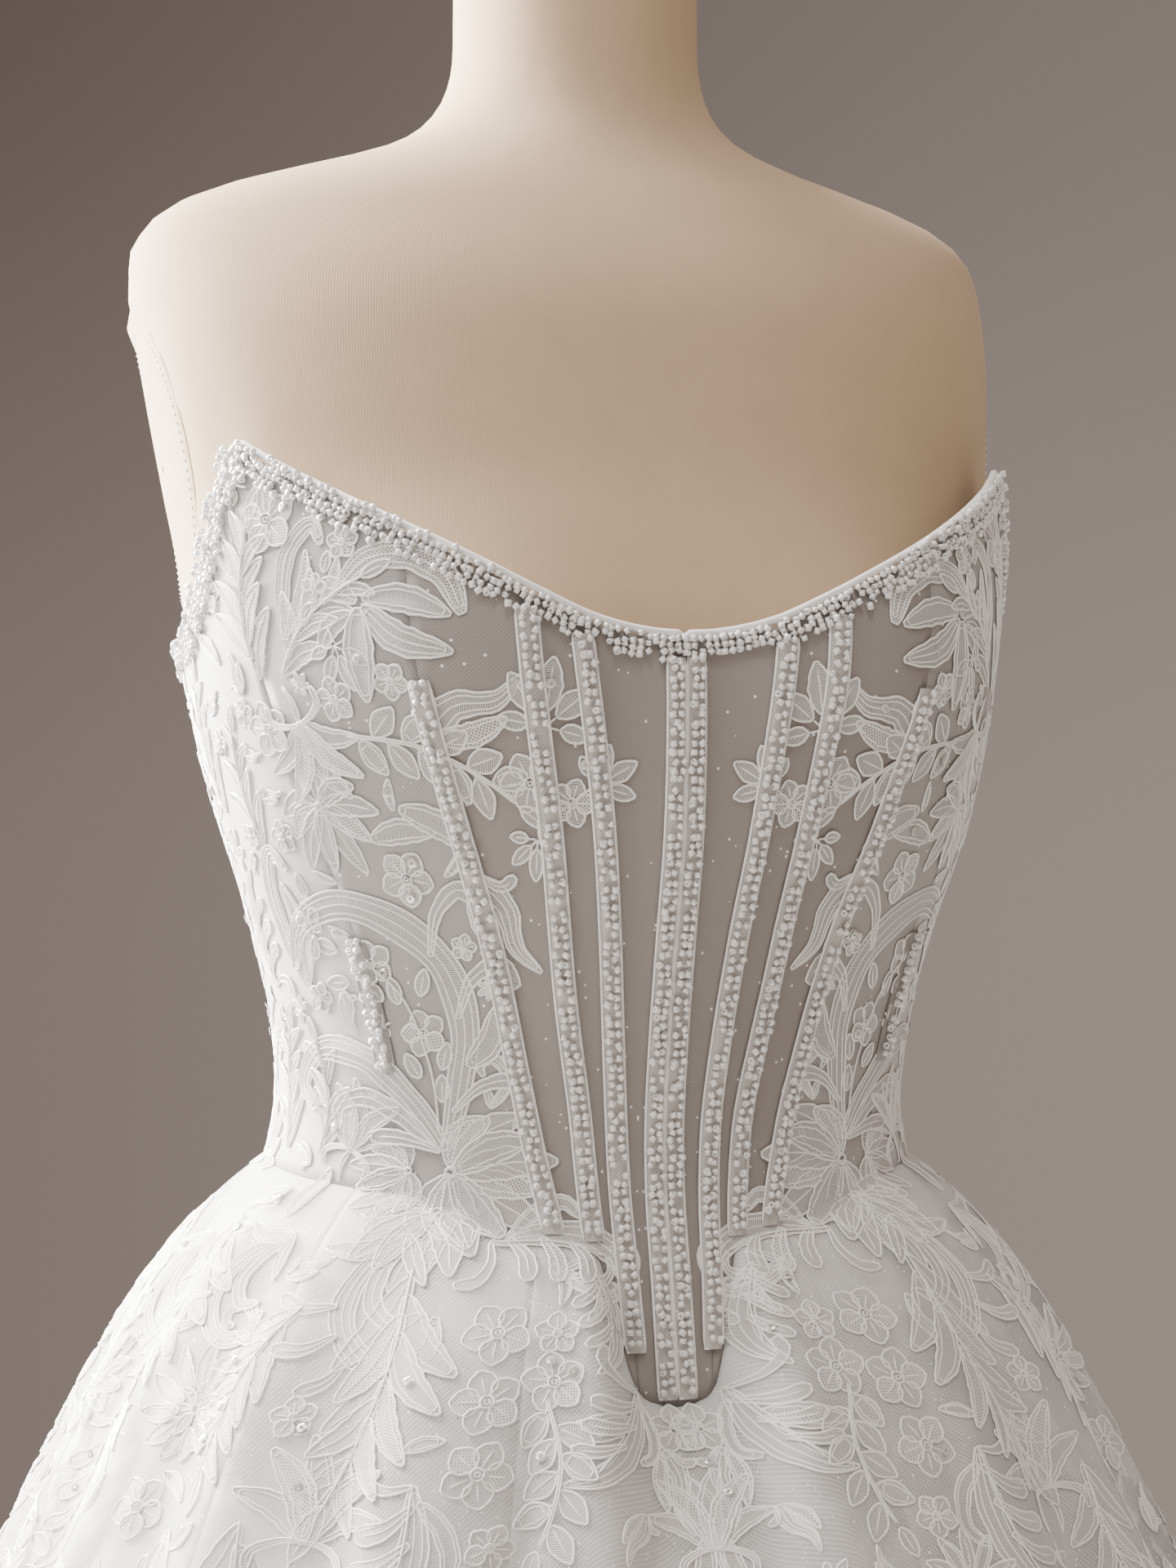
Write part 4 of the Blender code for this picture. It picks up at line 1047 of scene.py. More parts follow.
@dataclass
class DressForm:
    """The jersey torso, its arm plates and neck cap, the board under it and the stand."""

    shape: GownShape
    finishes: Finishes
    columns: int = 116
    row_height: float = 0.006
    smoothing: float = 0.007
    pole_share: float = 0.02
    uv_radius: float = 0.135
    plate_height: float = 1.309
    plate_half_depth: float = 0.042
    plate_half_height: float = 0.062
    plate_out: float = 0.0028
    plate_padding: float = 0.0024
    padding_reach: float = 0.35
    plate_rings: int = 14
    plate_steps: int = 72
    seam_share: float = 0.90
    seam_lift: float = 0.0002
    stitch_length: float = 0.0016
    thread_radius: float = 0.00028
    cap_radius: float = 0.048
    cap_height: float = 0.012

    def build(self) -> None:
        """Build every piece of the form and dress the stand."""
        self.torso()
        for side in Side:
            self.plate(side)
        self.cap()
        for node, material in (
            ("stand_base", self.finishes.steel),
            ("stand_pole", self.finishes.steel),
            ("form_board", self.finishes.board),
        ):
            dress(frame["nodes"][node], material_slot(node), material)

    def padding(self, angle: Array, height: Array) -> Array:
        """How far the jersey rises to meet the arm plates: a bell past the edge of each plate."""
        width = max(row[1] for row in FORM_SECTIONS.rows)
        along = (np.abs(angle) - math.pi / 2) * width / self.plate_half_depth
        upwards = (height - self.plate_height) / self.plate_half_height
        past = np.maximum(np.hypot(along, upwards) - 1.0, 0.0)
        return self.plate_padding * np.exp(-((past / self.padding_reach) ** 2))

    @staticmethod
    def wrinkles(angle: Array, height: Array) -> Array:
        """Small pulls of the jersey over the arm plates: short slanted ridges that fade out."""
        total = np.zeros(np.broadcast(angle, height).shape)
        turned = np.degrees(np.abs(angle)) - 98.0
        pulls = (1.392, 0.0040, 0.0022), (1.380, 0.0036, 0.0024), (1.366, 0.0045, 0.0034)
        for middle, rise, depth in pulls:
            away = turned / 13.0
            slanted = height - middle + 0.0007 * turned
            total += depth * np.exp(-(away**2) - (slanted / rise) ** 2)
        return total

    def torso(self) -> None:
        """The torso: the outline at even heights, closed at the board and at the top of the neck."""
        low, high = FORM_SECTIONS.rows[0][0], FORM_SECTIONS.rows[-1][0]
        height = np.linspace(high, low, round((high - low) / self.row_height))[:, None]
        angle = np.linspace(-math.pi, math.pi, self.columns + 1)
        around = angle[None, :-1]
        pulls = self.wrinkles(around, height) * np.where(around < 0, 1.0, 0.6)
        pulls = pulls + self.padding(around, height)
        points = self.shape.form(around, height, pulls) * 0.5
        for step in (-self.smoothing, self.smoothing):
            points = points + self.shape.form(around, height + step, pulls) * 0.25
        ends = [points[:1], points, points[-1:]]
        for number in (0, 2):
            middle = ends[number].mean(axis=1, keepdims=True)
            ends[number] = middle + (ends[number] - middle) * 0.5
        tips = [np.repeat(end.mean(axis=1, keepdims=True), self.columns, axis=1) for end in ends[::2]]
        tips = [tip + (end - tip) * self.pole_share for tip, end in zip(tips, ends[::2])]
        points = np.concatenate([tips[0], *ends, tips[1]])
        uv = np.stack(np.broadcast_arrays(angle[None, :] * self.uv_radius, points[:, :1, 2]), axis=-1)
        item = surface("form_torso_jersey", points, uv, wrap=True)
        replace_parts(dress(item, "jersey", self.finishes.jersey), "form_torso")

    def plate_point(self, side: Side, reach: Array, turn: Array, out: Array | float) -> Array:
        """A point of an arm plate, by its share of the way out and its turn round the plate."""
        height = self.plate_height + self.plate_half_height * reach * np.sin(turn)
        width = max(row[1] for row in FORM_SECTIONS.rows)
        angle = math.pi / 2 + self.plate_half_depth / width * reach * np.cos(turn)
        return self.shape.form(side.value * angle, height, out)

    def plate(self, side: Side) -> None:
        """An arm plate: a shallow dome whose edge rolls in, and a stitched seam round it."""
        store = Store()
        reach = np.concatenate([np.linspace(0.03, 0.94, self.plate_rings), [0.975, 1.0, 1.0]])[:, None]
        turn = np.linspace(0.0, FULL_TURN, self.plate_steps, endpoint=False)[None, :]
        out = self.plate_out - 0.0006 * np.clip((reach - 0.9) / 0.1, 0.0, 1.0) ** 2
        out[-1] = 0.0
        points = self.plate_point(side, reach, turn, out)
        faces, marks = grid_faces(*points.shape[:2], wrap=True)
        if side is Side.LEFT:
            faces, marks = faces[:, ::-1], marks[:, ::-1]
        marks = marks % (points.shape[0] * points.shape[1])
        uv = points[..., 1:].reshape(-1, 2)
        store.add(points.reshape(-1, 3), faces, uv[faces], 0)
        around, lift = np.array([self.seam_share]), self.plate_out + self.seam_lift
        seam = self.plate_point(side, around, turn[0], lift)
        run = np.linalg.norm(seam - np.roll(seam, 1, axis=0), axis=1).sum()
        for start in np.linspace(0.0, FULL_TURN, round(run / (2 * self.stitch_length)), endpoint=False):
            share = np.linspace(start, start + self.stitch_length / run * FULL_TURN, 4)
            thread = self.plate_point(side, around, share, lift)
            away = thread * (1.0, 1.0, 0.0) / np.linalg.norm(thread[:, :2], axis=1)[:, None]
            store.tube(thread, away, self.thread_radius, 4, False, 1)
        item = store.build(f"form_arm_plate_{side.word}_jersey")
        dress(item, "jersey", self.finishes.jersey, self.finishes.piping)
        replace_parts(item, f"form_arm_plate_{side.word}")

    def cap(self) -> None:
        """The neck cap: a turned profile, flat below and softly domed above."""
        centre_y = FORM_SECTIONS.rows[-1][4]
        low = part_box("form_neck_cap")[0].z
        rise = np.array([1.0, 0.995, 0.96, 0.88, 0.72, 0.45, 0.2, 0.05, 0.0, 0.0, 0.0])
        reach = np.array([0.01, 0.3, 0.6, 0.8, 0.93, 0.99, 1.0, 0.995, 0.97, 0.5, 0.01])
        angle = np.linspace(-math.pi, math.pi, self.plate_steps + 1)
        radius = self.cap_radius * reach[:, None]
        points = self.shape.placed(angle[None, :-1], low + self.cap_height * rise[:, None], radius, centre_y)
        run = np.cumsum(reach)[:, None] * 0.01
        uv = np.stack(np.broadcast_arrays(angle[None, :] * self.cap_radius, run), axis=-1)
        item = surface("form_neck_cap_jersey", points, uv, wrap=True)
        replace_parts(dress(item, "jersey", self.finishes.jersey), "form_neck_cap")


def material_slot(node: str) -> str:
    """The record's material slot of a CAD node."""
    found = [part for part in frame["record"]["subparts"] if part["node"] == node]
    return found[0]["material_slot"]


# The bodice


@dataclass
class Bodice:
    """The lined and netted panels, the rolled binding, and the beaded channels over the seams."""

    chart: Chart
    finishes: Finishes
    panels: tuple[str, ...] = ("centre", "second", "third", "bust", "side", "back")
    sheer_panels: int = 3
    side_seam: float = math.radians(95.0)
    cell: float = 0.0040
    rows: int = 50
    wall: float = 0.0009
    edge_roll: float = 0.0001
    roll_reach: float = 0.0012
    binding_radius: float = 0.0015
    binding_lift: float = 0.0006
    channel_half: float = 0.00375
    centre_half: float = 0.0034
    centre_offset: float = 0.0038
    channel_inset: float = 0.0065
    channel_columns: int = 7
    piping_radius: float = 0.00050
    piping_lift: float = 0.0003
    channel_step: float = 0.0035
    channel_puff: float = 0.0008
    foot_gap: float = 0.001
    binding_steps: int = 260

    def build(self) -> None:
        """Build both sides."""
        for side in Side:
            for number, name in enumerate(self.panels):
                self.panel(side, number, name)
            self.binding(side)
            self.channels(side)

    def seam(self, number: int, height: Array) -> Array:
        """Angle of a panel seam: 0 is the centre front, 5 the side seam and 6 the centre back."""
        if number in (0, 5, 6):
            return np.full_like(height, {0: 0.0, 5: self.side_seam, 6: math.pi}[number])
        return np.radians(PANEL_SEAMS.at(height)[PANEL_SEAMS.names.split()[number]])

    def panel_grid(self, number: int) -> tuple[Array, Array]:
        """Angles and heights of a panel between its two seams, the top edge and the waist seam."""
        shape = self.chart.shape
        middle = np.array(shape.bust_height)
        span = float(self.seam(number + 1, middle) - self.seam(number, middle)) * BODICE_RADIUS
        across = np.linspace(0.0, 1.0, max(5, round(span / self.cell)) + 1)
        top = np.full_like(across, shape.bust_height)
        bottom = np.full_like(across, shape.bust_height)
        for _ in range(30):
            top_angle = self.seam(number, top) * (1 - across) + self.seam(number + 1, top) * across
            low_angle = self.seam(number, bottom) * (1 - across) + self.seam(number + 1, bottom) * across
            top = shape.edge(TOP_EDGE, top_angle)
            bottom = shape.edge(WAIST_SEAM, low_angle)
        height = top + (bottom - top) * np.linspace(0.0, 1.0, self.rows + 1)[:, None]
        near, far = self.seam(number, height), self.seam(number + 1, height)
        half_gap = shape.seam_gap / 2 / PANEL_RADIUS
        return (near + half_gap) * (1 - across) + (far - half_gap) * across, height

    def panel(self, side: Side, number: int, name: str) -> None:
        """A panel: the bodice's face between two seams, its edges rolled in at the seams."""
        angle, height = self.panel_grid(number)
        share = np.linspace(0.0, 1.0, angle.shape[1])
        width = (angle[:, -1:] - angle[:, :1]) * PANEL_RADIUS
        nearest = np.minimum(share, 1 - share) * width
        roll = -self.edge_roll * np.exp(-((nearest / self.roll_reach) ** 2))
        points = self.chart.shape.bodice(side.value * angle, height, roll)
        if side is Side.RIGHT:
            points = points[:, ::-1]
        uv = np.stack([side.value * angle * PANEL_RADIUS, height], axis=-1)
        uv = uv[:, ::-1] if side is Side.RIGHT else uv
        item = surface(f"bodice_{name}_{side.word}_net", points, uv)
        thicken(item, self.wall)
        # The centre, second and third panels take the sheer ground and the bust panel the bust ground, both
        # with painted shade of the front; the side and back panels take the plain net ground.
        grounds = self.finishes.sheer, self.finishes.bust, self.finishes.ground
        dress(item, "white_satin", grounds[(number >= self.sheer_panels) + (number > self.sheer_panels)])
        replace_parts(item, f"bodice_{name}_{side.word}")

    def top_line(self, side: Side, steps: int) -> tuple[Array, Array]:
        """Angles and heights along the top edge, from the centre front to the centre back."""
        angle = np.linspace(0.001, math.pi - 0.001, 4000)
        line = self.chart.shape.bodice(angle, self.chart.shape.edge(TOP_EDGE, angle))
        run = arc_lengths(line, 0)
        angle = np.interp(np.linspace(0.0, run[-1], steps), run, angle)
        return side.value * angle, self.chart.shape.edge(TOP_EDGE, angle)

    def binding(self, side: Side) -> None:
        """The rolled binding: a soft cord over the top edge of the wall."""
        angle, height = self.top_line(side, self.binding_steps)
        edge = self.chart.shape.bodice(angle, height)
        along = np.gradient(edge, axis=0)
        outwards = unit(edge * (1.0, 1.0, 0.0))
        upwards = unit(np.cross(along, outwards) * -side.value)
        upwards *= np.sign(upwards[:, 2:])
        lift = self.binding_radius + self.binding_lift
        path = edge + upwards * lift - outwards * self.chart.shape.wall / 2
        store = Store()
        store.tube(path, outwards, self.binding_radius, 10, False, 0)
        item = store.build(f"binding_{side.word}_roll")
        dress(item, "white_satin", self.finishes.piping)
        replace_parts(item, f"binding_{side.word}")

    def stretches(self) -> list[tuple[str, Callable[[Array], Array], float, float, float]]:
        """Each channel: name, its angle at a height, half width, top and bottom."""
        shape = self.chart.shape
        top = float(shape.edge(TOP_EDGE, np.array(0.0))) - self.channel_inset
        outer = self.centre_offset + self.centre_half
        low = float(shape.edge(WAIST_SEAM, np.array(outer / WAIST_RADIUS))) + self.foot_gap
        rows = [("centre", self.centre_angle, self.centre_half, top, low)]
        for number, name in enumerate(("first", "second", "third", "fourth"), start=1):
            start = float(shape.edge(TOP_EDGE, self.seam(number, np.array(1.25)))) - self.channel_inset
            start = {"third": 1.220, "fourth": 1.128}.get(name, start)
            end = 1.078 if name == "fourth" else self.foot(number)
            rows.append((name, partial(self.seam, number), self.channel_half, start, end))
        return rows

    def centre_angle(self, height: Array) -> Array:
        """Angle of the centre channel's middle line."""
        radius, _ = self.chart.shape.outline(GOWN_SECTIONS, 0.0 * height, height, 1.0)
        return self.centre_offset / radius

    def foot(self, number: int) -> float:
        """Height at which a channel's outer edge meets the waist seam."""
        height = np.array(1.0)
        for _ in range(30):
            outer = self.seam(number, height) + self.channel_half / WAIST_RADIUS
            height = self.chart.shape.edge(WAIST_SEAM, outer)
        return float(height) + self.foot_gap

    def channels(self, side: Side) -> None:
        """Each channel: a narrow strip along its seam, with a piped edge on both sides."""
        for name, angle_of, half, top, bottom in self.stretches():
            height = np.linspace(top, bottom, max(6, round((top - bottom) / self.channel_step)))
            radius, _ = self.chart.shape.gown_outline(angle_of(height), height)
            across = np.linspace(-1.0, 1.0, self.channel_columns)
            angle = side.value * angle_of(height)[:, None] + across * half / radius[:, None]
            puff = self.chart.lift * (0.4 if name == "fourth" else 1.0) + self.channel_puff * (1 - across**4)
            rows = np.repeat(height[:, None], self.channel_columns, axis=1)
            points, normals = self.chart.place(angle, rows, puff[None, :] + 0 * angle)
            faces, marks = grid_faces(*points.shape[:2])
            uv = np.stack(np.broadcast_arrays(-height[:, None], across * half), axis=-1).reshape(-1, 2)
            store = Store()
            store.add(points.reshape(-1, 3), faces, uv[marks], 0)
            for column in (0, -1):
                edge = points[:, column] + normals[:, column] * self.piping_lift
                store.tube(edge, normals[:, column], self.piping_radius, 6, False, 1)
            item = store.build(f"channel_{name}_{side.word}_piped")
            looks = [self.finishes.strip, self.finishes.piping]
            # The fourth channel takes the bust panels' ground, painted shade included, for its strip and its
            # piping.
            if name == "fourth":
                looks = [self.finishes.bust] * 2
            dress(item, "beaded_band", *looks)
            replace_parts(item, f"channel_{name}_{side.word}")


# Beads and sequins


@dataclass
class BeadWork:
    """Clear glass seed beads along the neckline and on the channels, and a few flat sequins."""

    chart: Chart
    bodice: Bodice
    lace: "Lace"
    finishes: Finishes
    bead_radius: float = 0.00136
    bead_half: float = 0.00112
    hole: float = 0.42
    sides: int = 6
    band_pitch: float = 0.0028
    channel_pitch: float = 0.0033
    band_start: float = 0.0002
    band_rows: int = 5
    band_chances: tuple[float, ...] = (0.7, 0.98, 0.95, 0.85, 0.6)
    bare_roll: float = 30.0
    channel_chance: float = 0.93
    channel_place: float = 0.42
    sequin_chance: float = 0.022
    sequin_radius: float = 0.0017
    lace_sequin_radius: float = 0.0019
    sequin_steps: int = 10
    seed: int = 11

    def build(self) -> None:
        """Bead the neckline and the channels of both sides."""
        self.random = np.random.default_rng(self.seed)
        for side in Side:
            self.neckline(side)
            self.channels(side)
        spots = np.array(self.lace.spots), np.array(self.lace.outward)
        self.sequins("lace_sequins", *spots, self.lace_sequin_radius)

    def frames(self, normals: Array) -> Array:
        """For each bead three axes: its hole's direction, one square to it, and roughly outwards."""
        count = len(normals)
        helper = np.tile([0.0, 0.0, 1.0], (count, 1))
        first = unit(np.cross(helper, normals))
        second = np.cross(normals, first)
        turn = self.random.uniform(0.0, math.pi, count)[:, None]
        tilt = normals * self.random.normal(0.0, 0.35, (count, 1))
        axis = unit(first * np.cos(turn) + second * np.sin(turn) + tilt)
        side = unit(np.cross(normals, axis))
        return np.stack([axis, side, np.cross(axis, side)], axis=1)

    def beads(self, name: str, points: Array, normals: Array) -> bpy.types.Object:
        """Beads as short rounded tubes: a small loop of profile carried round each bead's hole.

        Args:
            name: the piece's name.
            points: where each bead's middle is.
            normals: outwards at each.

        Returns:
            The joined beads.
        """
        profile = np.array([(self.hole, -0.7), (0.95, -0.9), (0.95, 0.9), (self.hole, 0.7)])
        turn = np.arange(self.sides) * FULL_TURN / self.sides
        loops = len(profile)
        local = np.zeros((loops, self.sides, 3))
        local[..., 0] = profile[:, 1:] * self.bead_half
        local[..., 1] = profile[:, :1] * np.cos(turn) * self.bead_radius
        local[..., 2] = profile[:, :1] * np.sin(turn) * self.bead_radius
        size = self.random.uniform(0.85, 1.12, (len(points), 1, 1))
        turned = np.einsum("kj,njc->nkc", local.reshape(-1, 3), self.frames(normals))
        placed = turned * size + points[:, None, :]
        ring, step = np.meshgrid(np.arange(loops), np.arange(self.sides), indexing="ij")
        after = (step + 1) % self.sides
        lower = (ring + 1) % loops
        ring, lower = ring * self.sides, lower * self.sides
        quad = np.stack([ring + step, lower + step, lower + after, ring + after], axis=-1).reshape(-1, 4)
        faces = (np.arange(len(points)) * loops * self.sides)[:, None, None] + quad
        uv = np.zeros((len(points) * len(quad), 4, 2))
        item = mesh_object(name, placed.reshape(-1, 3), faces.reshape(-1, 4), uv)
        return dress(item, "beaded_band", self.finishes.bead)

    def sequins(self, name: str, points: Array, normals: Array, radius: float) -> bpy.types.Object:
        """Sequins as flat rings with a small hole, each tilted a little."""
        steps = self.sequin_steps
        turn = np.arange(steps) * FULL_TURN / steps
        local = np.zeros((3, steps, 3))
        for number, (reach, rise) in enumerate(((0.28, 0.12), (0.62, 0.16), (1.0, 0.0))):
            local[number, :, 0] = reach * radius * np.cos(turn)
            local[number, :, 1] = reach * radius * np.sin(turn)
            local[number, :, 2] = rise * radius
        frames = self.frames(normals)
        outwards = unit(normals + self.random.normal(0.0, 0.18, normals.shape))
        first = unit(np.cross(frames[:, 1], outwards))
        frames = np.stack([first, np.cross(outwards, first), outwards], axis=1)
        placed = np.einsum("kj,njc->nkc", local.reshape(-1, 3), frames) + points[:, None, :]
        faces, _ = grid_faces(3, steps, wrap=True)
        every = (np.arange(len(points)) * 3 * steps)[:, None, None] + faces
        uv = np.zeros((len(points) * len(faces), 4, 2))
        item = mesh_object(name, placed.reshape(-1, 3), every.reshape(-1, 4), uv)
        return dress(item, "beaded_band", self.finishes.sequin)

    def neckline(self, side: Side) -> None:
        """A dense band of beads under the binding, row by row, each bead moved a little."""
        length = float(arc_lengths(self.chart.shape.bodice(*self.bodice.top_line(side, 900)), 0)[-1])
        angle, height = self.bodice.top_line(side, round(length / self.band_pitch))
        rows = np.arange(-1, self.band_rows - 1)[:, None]
        uneven = self.random.normal(0.0, 0.0004, (self.band_rows, len(angle)))
        below = self.band_start + rows * self.band_pitch * 0.85 + uneven
        slope = np.gradient(height) / (np.abs(np.gradient(angle)) * BODICE_RADIUS)
        steep = np.hypot(1.0, slope)
        shift = self.random.normal(0.0, 0.0003, below.shape) / BODICE_RADIUS
        around = side.value * below * slope / steep / BODICE_RADIUS
        spot = angle + around + shift
        out = self.bead_radius * 1.1 + self.bodice.binding_radius * np.where(rows < 0, 0.8, 0.0) + 0 * below
        points, normals = self.chart.place(spot, height - below / steep, out)
        chance = np.array(self.band_chances)[:, None] * np.ones_like(below)
        chance[0] *= np.clip((np.degrees(np.abs(angle)) - self.bare_roll) / 12.0, 0.0, 1.0)
        keep = self.random.random(below.shape) < chance
        self.beads(f"neckline_beads_{side.word}", points[keep], normals[keep])

    def channels(self, side: Side) -> None:
        """Two beads across each channel, each moved a little, with a sequin here and there."""
        places, outward, discs, disc_outward = [], [], [], []
        for _, angle_of, half, top, bottom in self.bodice.stretches():
            height = np.arange(top - 0.001, bottom + 0.0012, -self.channel_pitch)
            across = np.array([-self.channel_place, self.channel_place])[:, None] * half
            radius, _ = self.chart.shape.gown_outline(angle_of(height), height)
            shift = self.random.normal(0.0, 0.00045, (2, 2, len(height)))
            angle = side.value * angle_of(height) + (across + shift[0]) / radius
            lift = self.chart.lift + self.bodice.channel_puff + self.bead_radius
            points, normals = self.chart.place(angle, height + shift[1], lift)
            keep = self.random.random(angle.shape) < self.channel_chance
            places.append(points[keep])
            outward.append(normals[keep])
            some = self.random.random(angle.shape) < self.sequin_chance
            discs.append((points + normals * 0.0005)[some])
            disc_outward.append(normals[some])
        self.beads(f"channel_beads_{side.word}", np.concatenate(places), np.concatenate(outward))
        spots = np.concatenate(discs), np.concatenate(disc_outward)
        self.sequins(f"channel_sequins_{side.word}", *spots, self.sequin_radius)


# Lace


class Outline(Enum):
    """How a lace ribbon's width runs along it."""

    LEAF = "leaf"
    DROP = "drop"
    HORN = "horn"
    BAND = "band"

    def share(self, run: Array) -> Array:
        """The width at each share of the way along, as a share of the greatest width."""
        run = 0.02 + 0.96 * run
        match self:
            case Outline.LEAF:
                return np.sin(math.pi * run**0.9) ** 0.7
            case Outline.DROP:
                return (0.18 + 0.82 * run) * np.sqrt(1 - run**7)
            case Outline.HORN:
                return np.minimum(1.0, 5 * run) ** 0.5 * (1 - run) ** 0.6
            case Outline.BAND:
                return (0.35 + 0.65 * np.sin(math.pi * run) ** 0.6) * np.sqrt(1 - (2 * run - 1) ** 10)


LEAF, DROP, HORN, BAND = Outline


@dataclass(frozen=True)
class Patch:
    """A filled lace shape with a cord round it.

    Args:
        spine: points along its middle.
        half: half its width at each.
        fill: what fills it.
        strands: cords inside its outline: 1 is a rib, 2 a second outline, 3 both.
    """

    spine: Array
    half: Array
    fill: Fill = Fill.SATIN
    strands: int = 0


@dataclass(frozen=True)
class Line:
    """A single lace cord."""

    points: Array
    radius: float


def thinned(patch: Patch, share: float) -> Patch:
    """The same shape with fewer steps along its spine."""
    steps = np.arange(len(patch.spine))
    place = np.linspace(0.0, steps[-1], max(6, round(len(steps) * share)))
    spine = np.stack([np.interp(place, steps, patch.spine[:, axis]) for axis in (0, 1)], axis=1)
    return Patch(spine, np.interp(place, steps, patch.half), patch.fill, patch.strands)


Motif = tuple[list[Patch], list[Line]]
Points = Sequence[tuple[float, float]]


def direction(heading: float) -> Array:
    """A unit vector: heading 0 is ahead and a positive one turns away from the centre front."""
    return np.array([math.sin(heading), math.cos(heading)])


def smooth(points: Points, step: float) -> Array:
    """A smooth curve through a few points, with a point at every step."""
    given = np.array(points, float)
    run = arc_lengths(given, 0)
    place = np.linspace(0.0, run[-1], max(6, round(run[-1] / step) + 1))
    return np.stack([cubic(run, given[:, axis], place) for axis in (0, 1)], axis=1)


def ribbon(
    size: float,
    points: Points,
    width: float,
    outline: Outline = Outline.LEAF,
    fill: Fill = Fill.SATIN,
    strands: int = 0,
) -> Patch:
    """A ribbon of lace through a few points.

    Args:
        size: the motif's size; the points and the width are shares of it.
        points: places to the side and ahead of the motif's root.
        width: its greatest width.
        outline: how the width runs along it.
        fill: what fills it.
        strands: cords inside its outline.

    Returns:
        The shape, its edge a little wavy as hand-guided cord is.
    """
    spine = smooth(np.array(points) * size, 2.4 * MM)
    run = np.linspace(0.0, 1.0, len(spine))
    wave = 1 + 0.07 * np.sin(9.0 * math.pi * run + 7.0 * points[-1][0]) * np.sin(math.pi * run)
    return Patch(spine, width * size / 2 * outline.share(run) * wave, fill, strands)


def petal(
    base: Array,
    heading: float,
    length: float,
    width: float,
    bow: float = 0.0,
    fill: Fill = Fill.SATIN,
    strands: int = 0,
) -> Patch:
    """A single petal: a short ribbon that bows to one side on its way.

    Args:
        base: where it starts.
        heading: which way it points.
        length: its length.
        width: its greatest width.
        bow: how far its middle swings aside.
        fill: what fills it.
        strands: cords inside its outline.

    Returns:
        The shape.
    """
    ahead = direction(heading)
    aside = np.array([ahead[1], -ahead[0]])
    points = [base, base + ahead * length * 0.5 + aside * bow, base + ahead * length]
    return ribbon(1.0, [tuple(point) for point in points], width, LEAF, fill, strands)


def ring(centre: Array, radius: float, cord: float) -> Line:
    """A small closed ring of cord."""
    turn = np.linspace(0.0, FULL_TURN, 10)
    return Line(centre + np.stack([np.sin(turn), np.cos(turn)], axis=1) * radius, cord)


def stalk(size: float, points: Points) -> Line:
    """A cord through a few points, which are shares of the motif's size."""
    return Line(smooth(np.array(points) * size, 2.4 * MM), 0.4 * MM)


def blossom(size: float, petals: int = 5) -> Motif:
    """An open flower: round petals about a small double ring."""
    shapes = []
    for number in range(petals):
        heading = FULL_TURN * number / petals + 0.2
        fill = Fill.NET if number % 2 else Fill.SATIN
        base = direction(heading) * size * 0.18
        shapes.append(petal(base, heading, size * 0.84, size * 0.92, 0.0, fill, 1))
    return shapes, [ring(np.zeros(2), size * 0.20, 0.42 * MM), ring(np.zeros(2), size * 0.08, 0.40 * MM)]


def small_flower(size: float, centre: tuple[float, float], reach: float) -> Motif:
    """An open flower without ribs beside a motif's stem; its place and reach are shares of the size."""
    flower, rings = blossom(size * reach)
    shift = np.array(centre) * size
    shapes = [Patch(shape.spine + shift, shape.half, shape.fill, 0) for shape in flower]
    return shapes, [Line(line.points + shift, line.radius) for line in rings]


def fan(size: float, petals: int = 11, start: float = -110.0, end: float = 110.0) -> Motif:
    """A fan of long petals that overlap at one hub, the middle ones longest, ribbed by a cord."""
    shapes = []
    for number in range(petals):
        share = number / (petals - 1)
        heading = math.radians(start + (end - start) * share)
        length = size * (0.66 + 0.34 * math.sin(math.pi * share)) * (0.84 if number % 2 else 1.0)
        fill = Fill.NET if number % 4 == 1 else Fill.SATIN
        bow = size * 0.12 * (share - 0.5) * 2
        base = direction(heading) * size * 0.03
        shapes.append(petal(base, heading, length, size * 0.30, bow, fill, 1 + number % 2))
    return shapes, [ring(np.zeros(2), size * 0.05, 0.5 * MM)]


def vine(size: float, pairs: int = 5, bow: float = 0.12) -> Motif:
    """A bowed double stem with plump ovals on short stalks on both sides and one at its tip."""
    stem = smooth(np.array([(0.0, 0.0), (bow, 0.45), (bow * 0.6, 0.8), (0.0, 1.0)]) * size, 2.0 * MM)
    along = np.gradient(stem, axis=0)
    shapes, lines = [], [Line(stem, 0.42 * MM), Line(stem + np.array([0.9 * MM, 0.0]), 0.36 * MM)]
    for number in range(2 * pairs):
        hand = 1 if number % 2 else -1
        place = round((0.06 + 0.86 * number / (2 * pairs)) * (len(stem) - 1))
        heading = math.atan2(along[place, 0], along[place, 1]) + hand * math.radians(48.0)
        length = size * 0.62 / pairs + 6.0 * MM
        foot = stem[place] + direction(heading) * 1.8 * MM
        shapes.append(petal(foot, heading, length, length * 0.58, 0.0, Fill.SATIN, 1 if number % 3 else 2))
        lines.append(Line(smooth([tuple(stem[place]), tuple(foot)], 2.0 * MM), 0.36 * MM))
    tip = math.atan2(along[-1, 0], along[-1, 1])
    shapes.append(petal(stem[-1] + direction(tip) * 1.5 * MM, tip, 11 * MM, 6.2 * MM, strands=1))
    return shapes, lines


